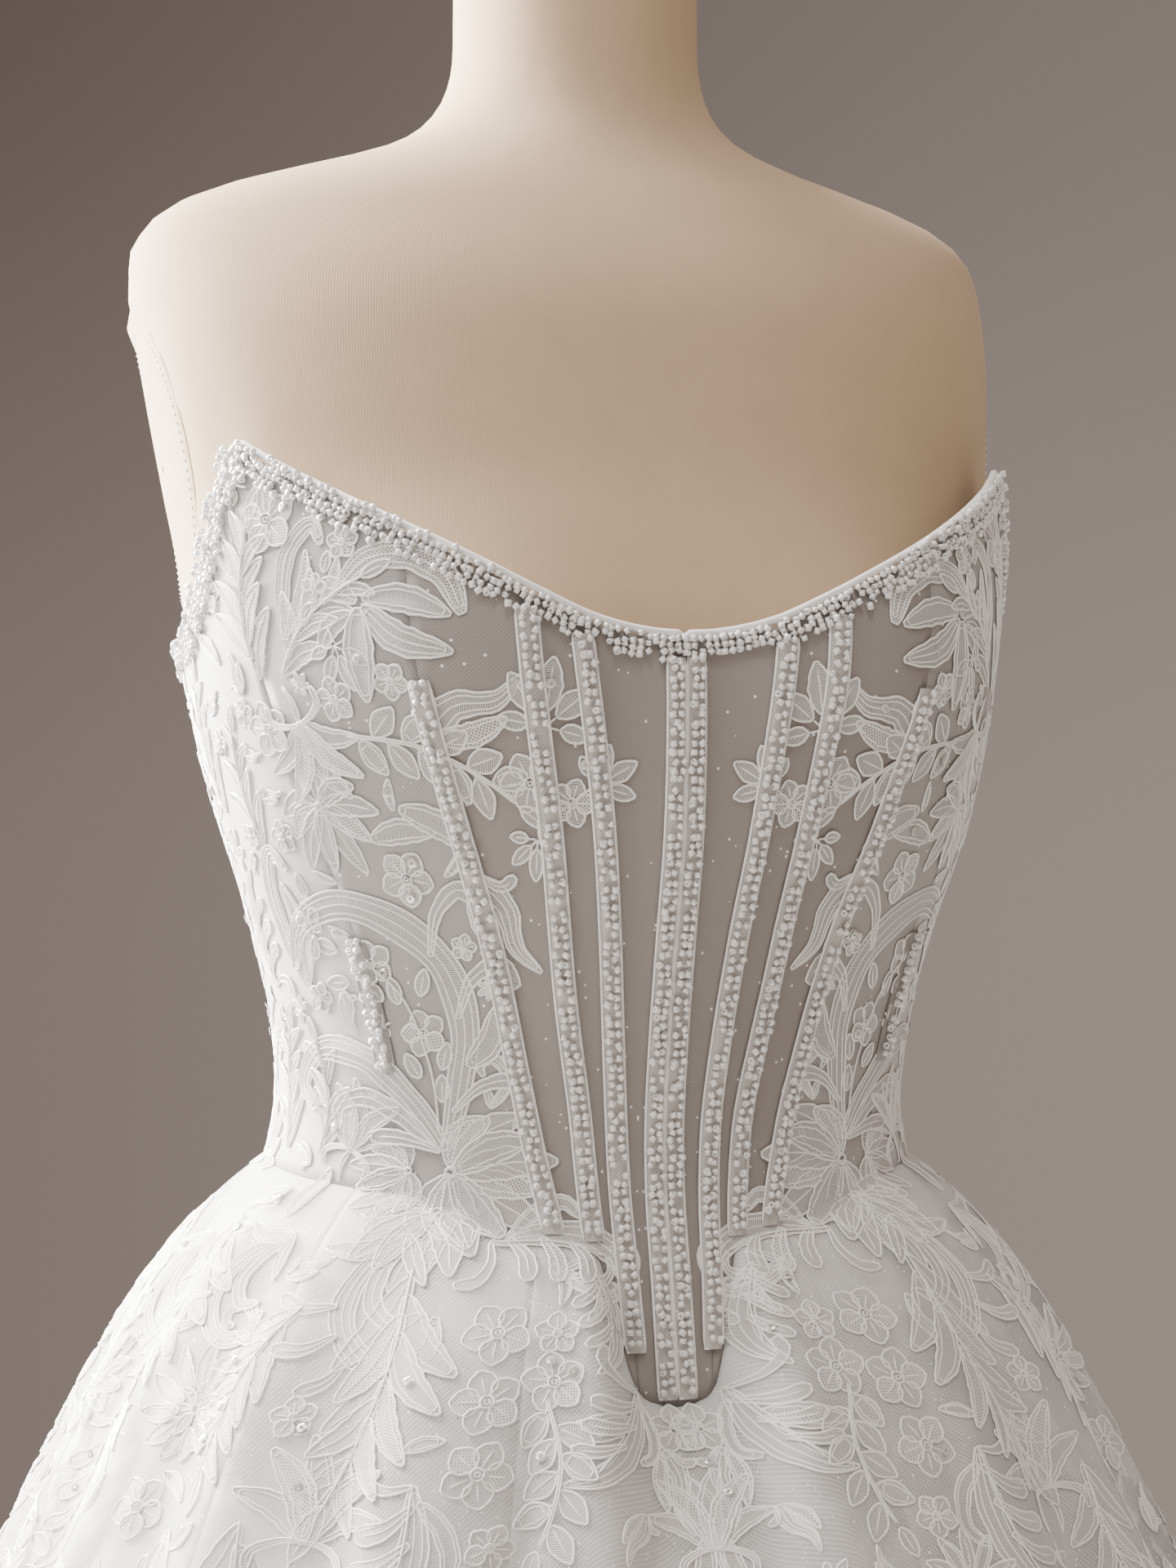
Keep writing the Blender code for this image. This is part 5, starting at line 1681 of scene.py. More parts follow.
def branch(size: float, leaves: int = 8, bow: float = 0.08) -> Motif:
    """A stem with long narrow leaves that hug it, shorter towards its tip."""
    stem = smooth(np.array([(0.0, 0.0), (bow, 0.4), (bow * 0.4, 0.8), (-bow * 0.3, 1.0)]) * size, 2.4 * MM)
    along = np.gradient(stem, axis=0)
    shapes = []
    for number in range(leaves):
        share = number / leaves
        hand = 1 if number % 2 else -1
        place = round((0.04 + 0.84 * share) * (len(stem) - 1))
        heading = math.atan2(along[place, 0], along[place, 1]) + hand * math.radians(34.0)
        length = size * (0.44 - 0.18 * share)
        fill = Fill.NET if number % 3 == 2 else Fill.SATIN
        swing = hand * length * -0.10
        shapes.append(petal(stem[place], heading, length, length * 0.30, swing, fill, 1 + number % 2))
    tip = math.atan2(along[-1, 0], along[-1, 1])
    shapes.append(petal(stem[-2], tip, size * 0.22, size * 0.09, strands=1))
    return shapes, [Line(stem, 0.46 * MM)]


def acanthus(size: float) -> Motif:
    """Half an acanthus leaf: a long bent top with lobes along one side of it, and a curl below."""
    shapes = [
        ribbon(size, [(0.0, 0.0), (0.10, 0.28), (0.12, 0.58), (0.02, 0.86), (-0.14, 1.0)], 0.17, strands=3),
        ribbon(size, [(0.04, 0.10), (-0.08, 0.26), (-0.24, 0.34)], 0.15, DROP, strands=1),
        ribbon(size, [(0.08, 0.30), (-0.06, 0.46), (-0.22, 0.54)], 0.15, DROP, Fill.NET, 1),
        ribbon(size, [(0.08, 0.50), (-0.04, 0.66), (-0.20, 0.74)], 0.13, DROP, strands=1),
        ribbon(size, [(0.06, 0.08), (0.24, 0.22), (0.32, 0.40), (0.24, 0.52)], 0.10, BAND, strands=2),
        ribbon(size, [(0.0, 0.0), (-0.16, 0.06), (-0.30, 0.02), (-0.34, -0.10)], 0.10, DROP),
    ]
    return shapes, [stalk(size, [(0.0, 0.0), (0.06, 0.4), (0.02, 0.8)])]


def plume(size: float) -> Motif:
    """A tall C scroll of banded cords that rises from its root and curls over, with hooks along its
    outer side, two smaller curls inside it, and a flowering vine of ovals between them."""
    scroll = [(0.0, 0.0), (-0.07, 0.22), (-0.13, 0.45), (-0.09, 0.68)]
    scroll += [(0.07, 0.86), (0.30, 0.95), (0.50, 0.88), (0.56, 0.74)]
    upper = [(0.0, 0.0), (0.12, 0.20), (0.30, 0.38), (0.50, 0.42), (0.60, 0.30), (0.54, 0.20)]
    lower = [(0.04, 0.02), (0.18, 0.16), (0.32, 0.23), (0.42, 0.20), (0.42, 0.12)]
    shapes = [
        ribbon(size, scroll, 0.120, BAND, strands=3),
        ribbon(size, upper, 0.095, BAND, strands=3),
        ribbon(size, lower, 0.065, BAND, strands=1),
        ribbon(size, [(0.02, 0.0), (0.16, 0.06), (0.28, 0.08)], 0.075, DROP, strands=1),
        ribbon(size, [(-0.11, 0.48), (-0.20, 0.62), (-0.31, 0.65), (-0.36, 0.56)], 0.085, DROP, strands=1),
        ribbon(size, [(-0.05, 0.72), (-0.12, 0.88), (-0.22, 0.94), (-0.30, 0.87)], 0.085, DROP, strands=1),
        ribbon(size, [(-0.12, 0.30), (-0.22, 0.38), (-0.26, 0.50)], 0.10, strands=2),
        ribbon(size, [(-0.04, 0.14), (-0.16, 0.22), (-0.28, 0.22), (-0.34, 0.14)], 0.08, DROP, strands=1),
    ]
    lines = []
    for centre in ((0.03, 0.44), (0.19, 0.72)):
        flower, rings = small_flower(size, centre, 0.085)
        shapes += flower
        lines += rings
    for side, ahead, heading in (
        (-0.02, 0.30, -20),
        (0.07, 0.28, 25),
        (0.0, 0.18, -8),
        (0.11, 0.56, 10),
        (0.02, 0.58, -22),
        (0.17, 0.58, 40),
        (0.33, 0.78, 60),
        (0.30, 0.66, 85),
    ):
        place = np.array([side, ahead]) * size
        shapes.append(petal(place, math.radians(heading), size * 0.10, size * 0.058, strands=1))
    lines.append(stalk(size, [(0.02, 0.06), (0.03, 0.35), (0.10, 0.6), (0.2, 0.72)]))
    return shapes, lines


def curls(size: float) -> Motif:
    """Two C curls one inside the other, with petals that spring from their outer side."""
    outer = [(0.0, 0.0), (0.16, 0.26), (0.42, 0.44), (0.74, 0.42)]
    outer += [(0.94, 0.18), (0.86, -0.06), (0.68, -0.10)]
    inner = [(0.04, 0.0), (0.22, 0.18), (0.44, 0.26), (0.64, 0.14), (0.62, -0.02)]
    shapes = [
        ribbon(size, outer, 0.15, BAND, strands=3),
        ribbon(size, inner, 0.11, BAND, strands=1),
        ribbon(size, [(0.36, 0.46), (0.30, 0.64), (0.16, 0.76)], 0.13, DROP, strands=1),
        ribbon(size, [(0.56, 0.50), (0.58, 0.70), (0.50, 0.86)], 0.13, DROP, Fill.NET, 1),
        ribbon(size, [(0.74, 0.46), (0.84, 0.62), (0.84, 0.80)], 0.12, DROP, strands=1),
        ribbon(size, [(0.0, 0.0), (0.02, 0.26), (-0.10, 0.46)], 0.14, strands=2),
        ribbon(size, [(0.0, 0.0), (0.24, -0.02), (0.42, -0.06)], 0.11, strands=1),
    ]
    return shapes, []


def crescent(size: float) -> Motif:
    """A crescent band over three large leaves with double outlines that part below it."""
    band = [(0.62, 0.20), (0.40, 0.44), (0.05, 0.50), (-0.30, 0.34), (-0.48, 0.04)]
    shapes = [
        ribbon(size, band, 0.24, BAND, Fill.NET, 3),
        ribbon(size, [(0.40, 0.10), (0.05, 0.12), (-0.38, 0.02)], 0.24, strands=2),
        ribbon(size, [(0.40, 0.02), (0.08, -0.22), (-0.42, -0.30)], 0.26, strands=3),
        ribbon(size, [(0.44, 0.0), (0.42, -0.34), (0.36, -0.80)], 0.28, strands=2),
        ribbon(size, [(0.46, 0.06), (0.74, 0.16), (1.0, 0.06)], 0.20, LEAF, Fill.NET, 1),
        ribbon(size, [(0.50, -0.04), (0.72, -0.20), (0.80, -0.42)], 0.18, strands=1),
    ]
    return shapes, []


def wings(size: float) -> Motif:
    """A horned leaf over a shorter one, their tips raised like a small wing."""
    shapes = [
        ribbon(size, [(0.0, 0.0), (0.16, 0.34), (0.12, 0.72), (0.26, 1.0)], 0.30, HORN, strands=3),
        ribbon(size, [(-0.04, 0.04), (-0.10, 0.36), (-0.04, 0.74)], 0.20, LEAF, Fill.NET, 2),
        ribbon(size, [(0.04, 0.0), (0.24, 0.16), (0.38, 0.12)], 0.14, DROP, strands=1),
    ]
    return shapes, []


def loop(size: float) -> Motif:
    """A long drop inside another, with ovals and a small flower along its hollow."""
    drop = [(0.0, 0.0), (0.16, 0.40), (0.20, 0.72), (0.06, 0.98), (-0.08, 0.86)]
    shapes = [
        ribbon(size, drop, 0.16, BAND, strands=3),
        ribbon(size, [(0.0, 0.04), (-0.06, 0.34), (-0.02, 0.62), (0.04, 0.76)], 0.14, LEAF, Fill.NET, 2),
    ]
    flower, rings = small_flower(size, (-0.16, 0.50), 0.12)
    shapes += flower
    shapes += [petal(np.array([-0.13, 0.22]) * size, -0.3, size * 0.17, size * 0.10, strands=1)]
    shapes += [petal(np.array([-0.20, 0.66]) * size, 0.2, size * 0.17, size * 0.10, strands=1)]
    return shapes, rings


def daisy(size: float) -> Motif:
    """A full flower seen a little from its side: long forked petals over a ring of short ones."""
    shapes = []
    for number in range(12):
        heading = FULL_TURN * (number + 0.3) / 12
        reach = 0.84 + 0.16 * math.cos(heading - 0.6)
        fill = Fill.NET if number % 3 == 0 else Fill.SATIN
        base = direction(heading) * size * 0.26
        length, strands = size * (reach - 0.26), 1 + number % 2
        shapes.append(petal(base, heading, length, size * 0.26, size * 0.05, fill, strands))
    for number in range(7):
        heading = FULL_TURN * number / 7
        shapes.append(petal(direction(heading) * size * 0.06, heading, size * 0.34, size * 0.20, strands=1))
    return shapes, []


def lily(size: float) -> Motif:
    """A lily: pointed petals that fan out of a cup, with curled sepals at its foot."""
    shapes = []
    outer = (-62, 0.86, 0.24), (62, 0.86, 0.24), (-34, 1.0, 0.28), (34, 1.0, 0.28)
    for turn, length, wide in (*outer, (-11, 0.9, 0.28), (14, 1.04, 0.28)):
        bow = size * 0.10 * (-1 if turn > 0 else 1)
        fill = Fill.NET if abs(turn) == 34 else Fill.SATIN
        shapes.append(petal(np.zeros(2), math.radians(turn), size * length, size * wide, bow, fill, 2))
    for hand in (-1, 1):
        points = [(0.0, 0.02), (hand * 0.24, -0.02), (hand * 0.44, -0.16), (hand * 0.42, -0.32)]
        shapes.append(ribbon(size, points, 0.11, DROP, strands=1))
    shapes.append(ribbon(size, [(0.0, 0.0), (0.04, -0.24), (-0.02, -0.46)], 0.08, HORN))
    return shapes, []


def single(size: float) -> Motif:
    """One long leaf with a double outline."""
    return [ribbon(size, [(0.0, 0.0), (0.07, 0.5), (0.0, 1.0)], 0.34, strands=2)], []


def ovals(size: float) -> Motif:
    """A sprig: three plump ovals and two smaller ones on short stems."""
    shapes, lines = [], []
    plump = (-42, 0.86, 0.34), (0, 1.0, 0.36), (42, 0.86, 0.34)
    for turn, reach, wide in (*plump, (-92, 0.66, 0.28), (92, 0.66, 0.28)):
        heading = math.radians(turn)
        base = direction(heading) * size * 0.24
        shapes.append(petal(base, heading, size * (reach - 0.24), size * wide, strands=1))
        lines.append(Line(smooth([(0.0, 0.0), tuple(base)], 2.0 * MM), 0.36 * MM))
    return shapes, [*lines, Line(smooth([(0.0, -size * 0.5), (0.04 * size, 0.0)], 2.0 * MM), 0.42 * MM)]


def hook(size: float) -> Motif:
    """A hook: a club that curls over, with a small leaf at its foot."""
    club = [(0.0, 0.0), (-0.06, 0.42), (0.16, 0.80), (0.48, 0.84), (0.58, 0.58), (0.42, 0.46)]
    shapes = [
        ribbon(size, club, 0.22, BAND, strands=3),
        ribbon(size, [(0.0, 0.0), (0.20, 0.22), (0.34, 0.28)], 0.14, strands=1),
    ]
    return shapes, []


class Kind(Enum):
    """The lace's motifs, each with the function that draws it."""

    ACANTHUS = (acanthus,)
    BLOSSOM = (blossom,)
    BRANCH = (branch,)
    CRESCENT = (crescent,)
    CURLS = (curls,)
    DAISY = (daisy,)
    FAN = (fan,)
    HOOK = (hook,)
    LILY = (lily,)
    LOOP = (loop,)
    OVALS = (ovals,)
    PLUME = (plume,)
    SINGLE = (single,)
    VINE = (vine,)
    WINGS = (wings,)

    def draw(self, size: float, options: dict[str, float] | None = None) -> Motif:
        """Draw the motif in its own plane, in metres."""
        return self.value[0](size, **(options or {}))


# Lace motifs of one side: kind, degrees from the centre front, chart height, turn in degrees
# (0 points up, 90 away from the centre front), size in millimetres, and options where it has them
BODICE_LACE = (
    (Kind.BLOSSOM, 62.5, 1.28, 0, 12.5),
    (Kind.BRANCH, 66.0, 1.22, 0, 62.0),
    (Kind.BRANCH, 62.0, 1.222, -48, 56.0, {"leaves": 7}),
    (Kind.LOOP, 60.0, 1.236, -22, 44.0),
    (Kind.SINGLE, 69.0, 1.26, 22, 22.0),
    (Kind.CRESCENT, 41.5, 1.244, -6, 41.0),
    (Kind.OVALS, 52.0, 1.233, 200, 17.0),
    (Kind.BLOSSOM, 53.5, 1.214, 0, 8.0),
    (Kind.WINGS, 41.0, 1.201, -76, 42.0),
    (Kind.VINE, 53.0, 1.201, -112, 66.0, {"bow": 0.10}),
    (Kind.BLOSSOM, 27.0, 1.184, 10, 10.5),
    (Kind.BLOSSOM, 20.4, 1.177, 40, 8.5),
    (Kind.OVALS, 24.0, 1.204, -12, 25.0),
    (Kind.OVALS, 16.0, 1.183, -62, 18.0),
    (Kind.OVALS, 26.5, 1.164, 175, 15.0),
    (Kind.LILY, 60.5, 1.206, 196, 30.0),
    (Kind.BLOSSOM, 66.5, 1.204, 0, 10.0),
    (Kind.FAN, 60.5, 1.176, -150, 27.0, {"petals": 9}),
    (Kind.WINGS, 37.5, 1.15, -160, 40.0),
    (Kind.SINGLE, 47.5, 1.175, -120, 30.0),
    (Kind.SINGLE, 53.0, 1.164, -85, 26.0),
    (Kind.PLUME, 44.0, 1.05, 8, 100.0),
    (Kind.LOOP, 71.5, 1.108, 2, 52.0),
    (Kind.BRANCH, 74.0, 1.16, 4, 46.0, {"leaves": 6}),
    (Kind.BRANCH, 70.0, 1.044, 4, 46.0, {"leaves": 6, "bow": -0.08}),
    (Kind.LILY, 63.0, 1.048, -16, 26.0),
    (Kind.HOOK, 36.0, 1.066, -30, 19.0),
    (Kind.HOOK, 33.5, 1.05, -70, 16.0),
    (Kind.FAN, 42.5, 1.042, -92, 40.0, {"petals": 10, "start": -95.0, "end": 60.0}),
    (Kind.FAN, 50.5, 1.042, 100, 24.0, {"petals": 7, "start": -60.0, "end": 80.0}),
    (Kind.BRANCH, 80.0, 1.044, 0, 50.0, {"leaves": 7}),
    (Kind.ACANTHUS, 83.0, 1.108, 4, 44.0),
    (Kind.BRANCH, 84.5, 1.172, 2, 54.0, {"leaves": 7}),
    (Kind.HOOK, 92.0, 1.07, 10, 24.0),
    (Kind.FAN, 92.0, 1.044, 0, 24.0, {"petals": 8}),
    (Kind.LOOP, 96.0, 1.106, 6, 52.0),
    (Kind.BLOSSOM, 97.0, 1.196, 0, 12.0),
    (Kind.OVALS, 97.0, 1.176, 180, 18.0),
    (Kind.PLUME, 114.0, 1.048, 2, 92.0),
    (Kind.CRESCENT, 112.0, 1.206, 4, 34.0),
    (Kind.BRANCH, 109.0, 1.146, -10, 46.0, {"leaves": 6}),
    (Kind.FAN, 114.0, 1.044, 180, 26.0, {"petals": 9}),
    (Kind.LILY, 130.0, 1.136, -6, 30.0),
    (Kind.VINE, 134.0, 1.05, 4, 66.0),
    (Kind.BLOSSOM, 131.0, 1.208, 0, 12.0),
    (Kind.OVALS, 138.0, 1.184, 150, 18.0),
    (Kind.PLUME, 154.0, 1.048, -4, 84.0),
    (Kind.CRESCENT, 148.0, 1.204, 0, 32.0),
    (Kind.FAN, 154.0, 1.044, 180, 24.0, {"petals": 9}),
    (Kind.BRANCH, 167.0, 1.152, -2, 52.0, {"leaves": 7}),
    (Kind.VINE, 171.0, 1.056, 2, 60.0, {"bow": -0.10}),
    (Kind.BLOSSOM, 160.0, 1.156, 0, 11.0),
)

SKIRT_LACE = (
    (Kind.FAN, 44.0, 1.027, 175, 33.0, {"petals": 9, "start": -75.0, "end": 75.0}),
    (Kind.CURLS, 46.0, 1.016, 118, 56.0),
    (Kind.BRANCH, 43.0, 1.004, 176, 92.0, {"leaves": 10}),
    (Kind.ACANTHUS, 33.0, 1.016, -96, 56.0),
    (Kind.CURLS, 21.0, 1.005, 200, 30.0),
    (Kind.ACANTHUS, 8.0, 0.964, 150, 48.0),
    (Kind.SINGLE, 10.0, 0.952, 110, 26.0),
    (Kind.WINGS, 4.5, 0.942, 176, 30.0),
    (Kind.VINE, 21.5, 0.956, 180, 52.0, {"pairs": 4}),
    (Kind.ACANTHUS, 15.0, 1.006, 190, 40.0),
    (Kind.BLOSSOM, 20.5, 0.962, 0, 11.0),
    (Kind.BRANCH, 55.0, 0.986, 165, 68.0, {"bow": -0.08}),
    (Kind.DAISY, 65.0, 0.942, 0, 27.0),
    (Kind.HOOK, 61.0, 0.97, 30, 20.0),
    (Kind.CURLS, 64.0, 1.012, 95, 46.0),
    (Kind.LILY, 46.5, 0.902, -6, 36.0),
    (Kind.ACANTHUS, 35.0, 0.926, 172, 62.0),
    (Kind.BRANCH, 53.0, 0.91, 176, 70.0),
    (Kind.DAISY, 28.0, 0.878, 0, 22.0),
    (Kind.LILY, 14.5, 0.872, 186, 32.0),
    (Kind.BRANCH, 5.5, 0.898, 178, 56.0, {"leaves": 7}),
    (Kind.ACANTHUS, 21.0, 0.862, 186, 54.0),
    (Kind.PLUME, 41.0, 0.856, 178, 84.0),
    (Kind.DAISY, 57.0, 0.85, 0, 24.0),
    (Kind.LOOP, 62.0, 0.90, 178, 48.0),
    (Kind.FAN, 8.0, 0.822, 180, 30.0, {"petals": 9}),
    (Kind.VINE, 29.5, 0.826, 182, 56.0),
    (Kind.BRANCH, 52.0, 0.81, 184, 58.0, {"leaves": 7}),
    (Kind.BLOSSOM, 16.0, 0.798, 0, 13.0),
    (Kind.OVALS, 16.0, 0.774, 180, 19.0),
)

# The skirt's lace from the side to the back: the same few motifs at each step round
SKIRT_REPEAT = (
    (Kind.BRANCH, 0.0, 1.018, 178, 74.0, {"leaves": 9}),
    (Kind.CURLS, 5.0, 1.006, 120, 50.0),
    (Kind.DAISY, 10.0, 0.938, 0, 26.0),
    (Kind.ACANTHUS, 2.0, 0.93, 176, 60.0),
    (Kind.LILY, 14.5, 0.90, 182, 34.0),
    (Kind.VINE, 8.0, 0.89, 180, 58.0),
    (Kind.PLUME, 0.0, 0.862, 178, 80.0),
    (Kind.BLOSSOM, 12.0, 0.824, 0, 13.0),
    (Kind.OVALS, 13.0, 0.802, 182, 20.0),
)
SKIRT_REPEAT_STARTS = (77.0, 97.0, 117.0, 137.0, 157.0)

CENTRE_LACE = ((Kind.LILY, 0.0, 0.9060, 0, 30.0),)


# Small motifs that fill bare ground: kind, the middle of its shape, and how far it reaches from there
SMALL_LACE = (
    (Kind.SINGLE, (0.03, 0.50), 0.52),
    (Kind.SINGLE, (0.03, 0.50), 0.52),
    (Kind.OVALS, (0.0, 0.25), 0.80),
    (Kind.BLOSSOM, (0.0, 0.0), 1.0),
    (Kind.WINGS, (0.10, 0.50), 0.60),
    (Kind.BLOSSOM, (0.0, 0.0), 1.0),
)


@dataclass(frozen=True)
class Zone:
    """Part of the chart where small motifs fill the bare ground between the large ones.

    Args:
        start: degrees from the centre front where it starts.
        end: degrees where it ends.
        low: its lowest chart height.
        high: its highest chart height.
        above: whether it lies above the waist seam.
        clear: how far from all other lace the middle of a small motif must lie.
        most: the greatest reach of a small motif.
        margin: how far it keeps from the seams.
        beads: how far it keeps below the top edge.
    """

    start: float
    end: float
    low: float
    high: float
    above: bool
    clear: float
    most: float
    margin: float = 0.005
    beads: float = 0.011

    def inside(self, angle: Array, level: Array) -> Array:
        """Where the zone is, clear of the seams, the neckline's beads and the sheer panels."""
        seam = GownShape.edge(WAIST_SEAM, angle)
        if not self.above:
            return level < seam - self.margin
        sheer = np.radians(PANEL_SEAMS.at(level)["third"]) + self.margin / BODICE_RADIUS
        top = GownShape.edge(TOP_EDGE, angle) - self.beads
        return (level > seam + self.margin) & (level < top) & (angle > sheer)


BODICE_ZONE = Zone(24.0, 178.0, 1.02, 1.31, True, 0.0046, 0.010)
SKIRT_ZONE = Zone(2.0, 76.0, 0.775, 1.035, False, 0.0066, 0.0115)


@dataclass
class Laid:
    """A lace shape or cord laid out on the chart, before its points have their places.

    Args:
        drawn: the shape or cord.
        angle: the angle of each of its points.
        level: their chart heights.
        out: how far they stand off the cloth.
        offset: how far each point of a shape lies to the side of its spine.
    """

    drawn: Patch | Line
    angle: Array
    level: Array
    out: Array
    offset: Array


def flattened(laid: Sequence[Laid], *parts: str) -> list[Array]:
    """The named values of all the laid shapes, end to end."""
    return [np.concatenate([getattr(one, part).ravel() for one in laid]) for part in parts]


@dataclass
class Lace:
    """Corded lace sewn to the bodice and the skirt: filled shapes, each with a raised cord."""

    chart: Chart
    finishes: Finishes
    patch_lift: float = 0.00020
    motif_lift: float = 0.00025
    layer_lift: float = 0.00014
    layers: int = 4
    patch_crown: float = 0.00005
    cord_radius: float = 0.00044
    strand_radius: float = 0.00031
    inner_share: float = 0.60
    cord_rise: float = -0.00002
    cord_sides: int = 3
    sequin_share: float = 0.06
    sequin_lift: float = 0.0008
    back_detail: float = 0.72
    spot_pitch: float = 0.005
    flat_angle: float = math.radians(45.0)
    parts: int = 60
    seed: int = 5
    replaced: tuple[str, ...] = (
        "crescent",
        "bust_leaf",
        "winged_leaf",
        "wing_leaf",
        "peak_flower",
        "waist_flower",
        "scroll",
    )
    spots: list[Array] = field(default_factory=list)
    outward: list[Array] = field(default_factory=list)

    def build(self) -> None:
        """Build the bodice's and the skirt's lace on both sides."""
        self.random = np.random.default_rng(self.seed)
        repeat = tuple(
            (kind, start + degrees, *rest)
            for start in SKIRT_REPEAT_STARTS
            for kind, degrees, *rest in SKIRT_REPEAT
        )
        for side in Side:
            item = self.piece(f"lace_bodice_{side.word}", side, BODICE_LACE, zone=BODICE_ZONE)
            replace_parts(item, *(f"lace_{name}_{side.word}" for name in self.replaced))
            self.piece(f"lace_skirt_front_{side.word}", side, SKIRT_LACE, zone=SKIRT_ZONE)
            self.piece(f"lace_skirt_back_{side.word}", side, repeat, self.back_detail)
        self.piece("lace_centre_flower", Side.LEFT, CENTRE_LACE)

    def piece(
        self, name: str, side: Side, rows: Sequence[tuple], detail: float = 1.0, zone: Zone | None = None
    ) -> bpy.types.Object:
        """One piece of lace from a table of motifs: all are laid out, then placed in one go.

        Args:
            name: the piece's name.
            side: the side of the gown that it lies on.
            rows: the motifs.
            detail: the share of each shape's steps that is kept.
            zone: where small motifs fill the ground between them.

        Returns:
            The piece.
        """
        laid = self.lay(side, rows, detail)
        if zone:
            laid += self.lay(side, self.fill_in(zone, laid), detail)
        points, normals = self.chart.place(*flattened(laid, "angle", "level", "out"))
        store = Store()
        start = 0
        for one in laid:
            cut = slice(start, start + one.angle.size)
            start = cut.stop
            own = (value[cut].reshape(*one.angle.shape, 3) for value in (points, normals))
            self.sew(store, side, one, *own)
        item = store.build(name)
        fill = self.finishes.satin if "bodice" in name else self.finishes.bold
        dress(item, "corded_lace", fill, self.finishes.netting, self.finishes.cord)
        return item

    def lay(self, side: Side, rows: Sequence[tuple], detail: float) -> list[Laid]:
        """Lay out every shape and cord of the given motifs."""
        laid = []
        for kind, degrees, height, turn, size, *options in rows:
            patches, lines = kind.draw(size * MM, *options)
            spot = (math.radians(degrees), height, math.radians(turn))
            lift = self.patch_lift + self.random.uniform(0.0, self.motif_lift)
            for number, patch in enumerate(patches):
                shape = thinned(patch, detail)
                laid.append(self.lay_patch(side, spot, shape, lift + number % self.layers * self.layer_lift))
            for line in lines:
                angle, level = self.to_chart(side, spot, line.points[:, None, :])
                out = np.full_like(angle, lift + self.layers * self.layer_lift)
                laid.append(Laid(line, angle, level, out, 0.0 * angle))
        return laid

    def fill_in(self, zone: Zone, laid: list[Laid]) -> list[tuple]:
        """Choose small motifs for the bare spots of a zone, the widest spot first.

        Args:
            zone: where to look.
            laid: the lace already there.

        Returns:
            A row for each small motif, as in the tables.
        """
        middle = self.flat_angle
        step = math.degrees(self.spot_pitch / BODICE_RADIUS)
        columns = np.radians(np.arange(zone.start, zone.end, step))
        grid = np.meshgrid(columns, np.arange(zone.low, zone.high, self.spot_pitch))
        angle, level = (part[zone.inside(*grid)] for part in grid)
        spots = np.stack([angle * self.chart.radius(middle, level), level], axis=1)
        around, up = flattened(laid, "angle", "level")
        taken = np.stack([np.abs(around) * self.chart.radius(middle, up), up], axis=1)
        free = np.full(len(spots), 1.0)
        for part in np.array_split(taken, self.parts):
            away = np.linalg.norm(spots[:, None, :] - part[None, :, :], axis=-1)
            free = np.minimum(free, away.min(axis=1))
        random = np.random.default_rng(self.seed)
        rows = []
        while free.max() >= zone.clear:
            best = int(free.argmax())
            reach = min(float(free[best]), zone.most)
            kind, (aside, ahead), share = SMALL_LACE[random.integers(len(SMALL_LACE))]
            size, turn = reach / share, random.uniform(0.0, FULL_TURN)
            across = size * (aside * math.cos(turn) + ahead * math.sin(turn))
            upwards = size * (ahead * math.cos(turn) - aside * math.sin(turn))
            root = angle[best] - across / self.chart.radius(middle, level[best])
            rows.append((kind, math.degrees(root), level[best] - upwards, math.degrees(turn), size / MM))
            free = np.minimum(free, np.linalg.norm(spots - spots[best], axis=1) - reach)
        LOG.info("%d small motifs fill the ground", len(rows))
        return rows

    def to_chart(self, side: Side, spot: tuple[float, float, float], local: Array) -> tuple[Array, Array]:
        """Turn a motif's own coordinates by its turn, and lay them on the chart round its root."""
        centre, height, turn = spot
        along = local[..., 0] * math.cos(turn) + local[..., 1] * math.sin(turn)
        upwards = -local[..., 0] * math.sin(turn) + local[..., 1] * math.cos(turn)
        level = height + upwards
        return side.value * (centre + along / self.chart.radius(centre, level)), level

    def lay_patch(self, side: Side, spot: tuple[float, float, float], patch: Patch, lift: float) -> Laid:
        """Lay a shape out: an edge, a crowned middle and the other edge at each step of its spine.

        Args:
            side: the side of the gown.
            spot: the motif's angle, height and turn.
            patch: the shape.
            lift: how far it lies off the cloth, so that petals overlap cleanly.

        Returns:
            The shape on the chart.
        """
        ahead = unit(np.gradient(patch.spine, axis=0))
        aside = np.stack([ahead[:, 1], -ahead[:, 0]], axis=1)
        across = np.array([-1.0, 0.0, 1.0])
        offset = patch.half[:, None] * across
        local = patch.spine[:, None, :] + offset[..., None] * aside[:, None, :]
        angle, level = self.to_chart(side, spot, local)
        out = np.broadcast_to(lift + self.patch_crown * (1 - across**2), angle.shape)
        return Laid(patch, angle, level, out, offset)

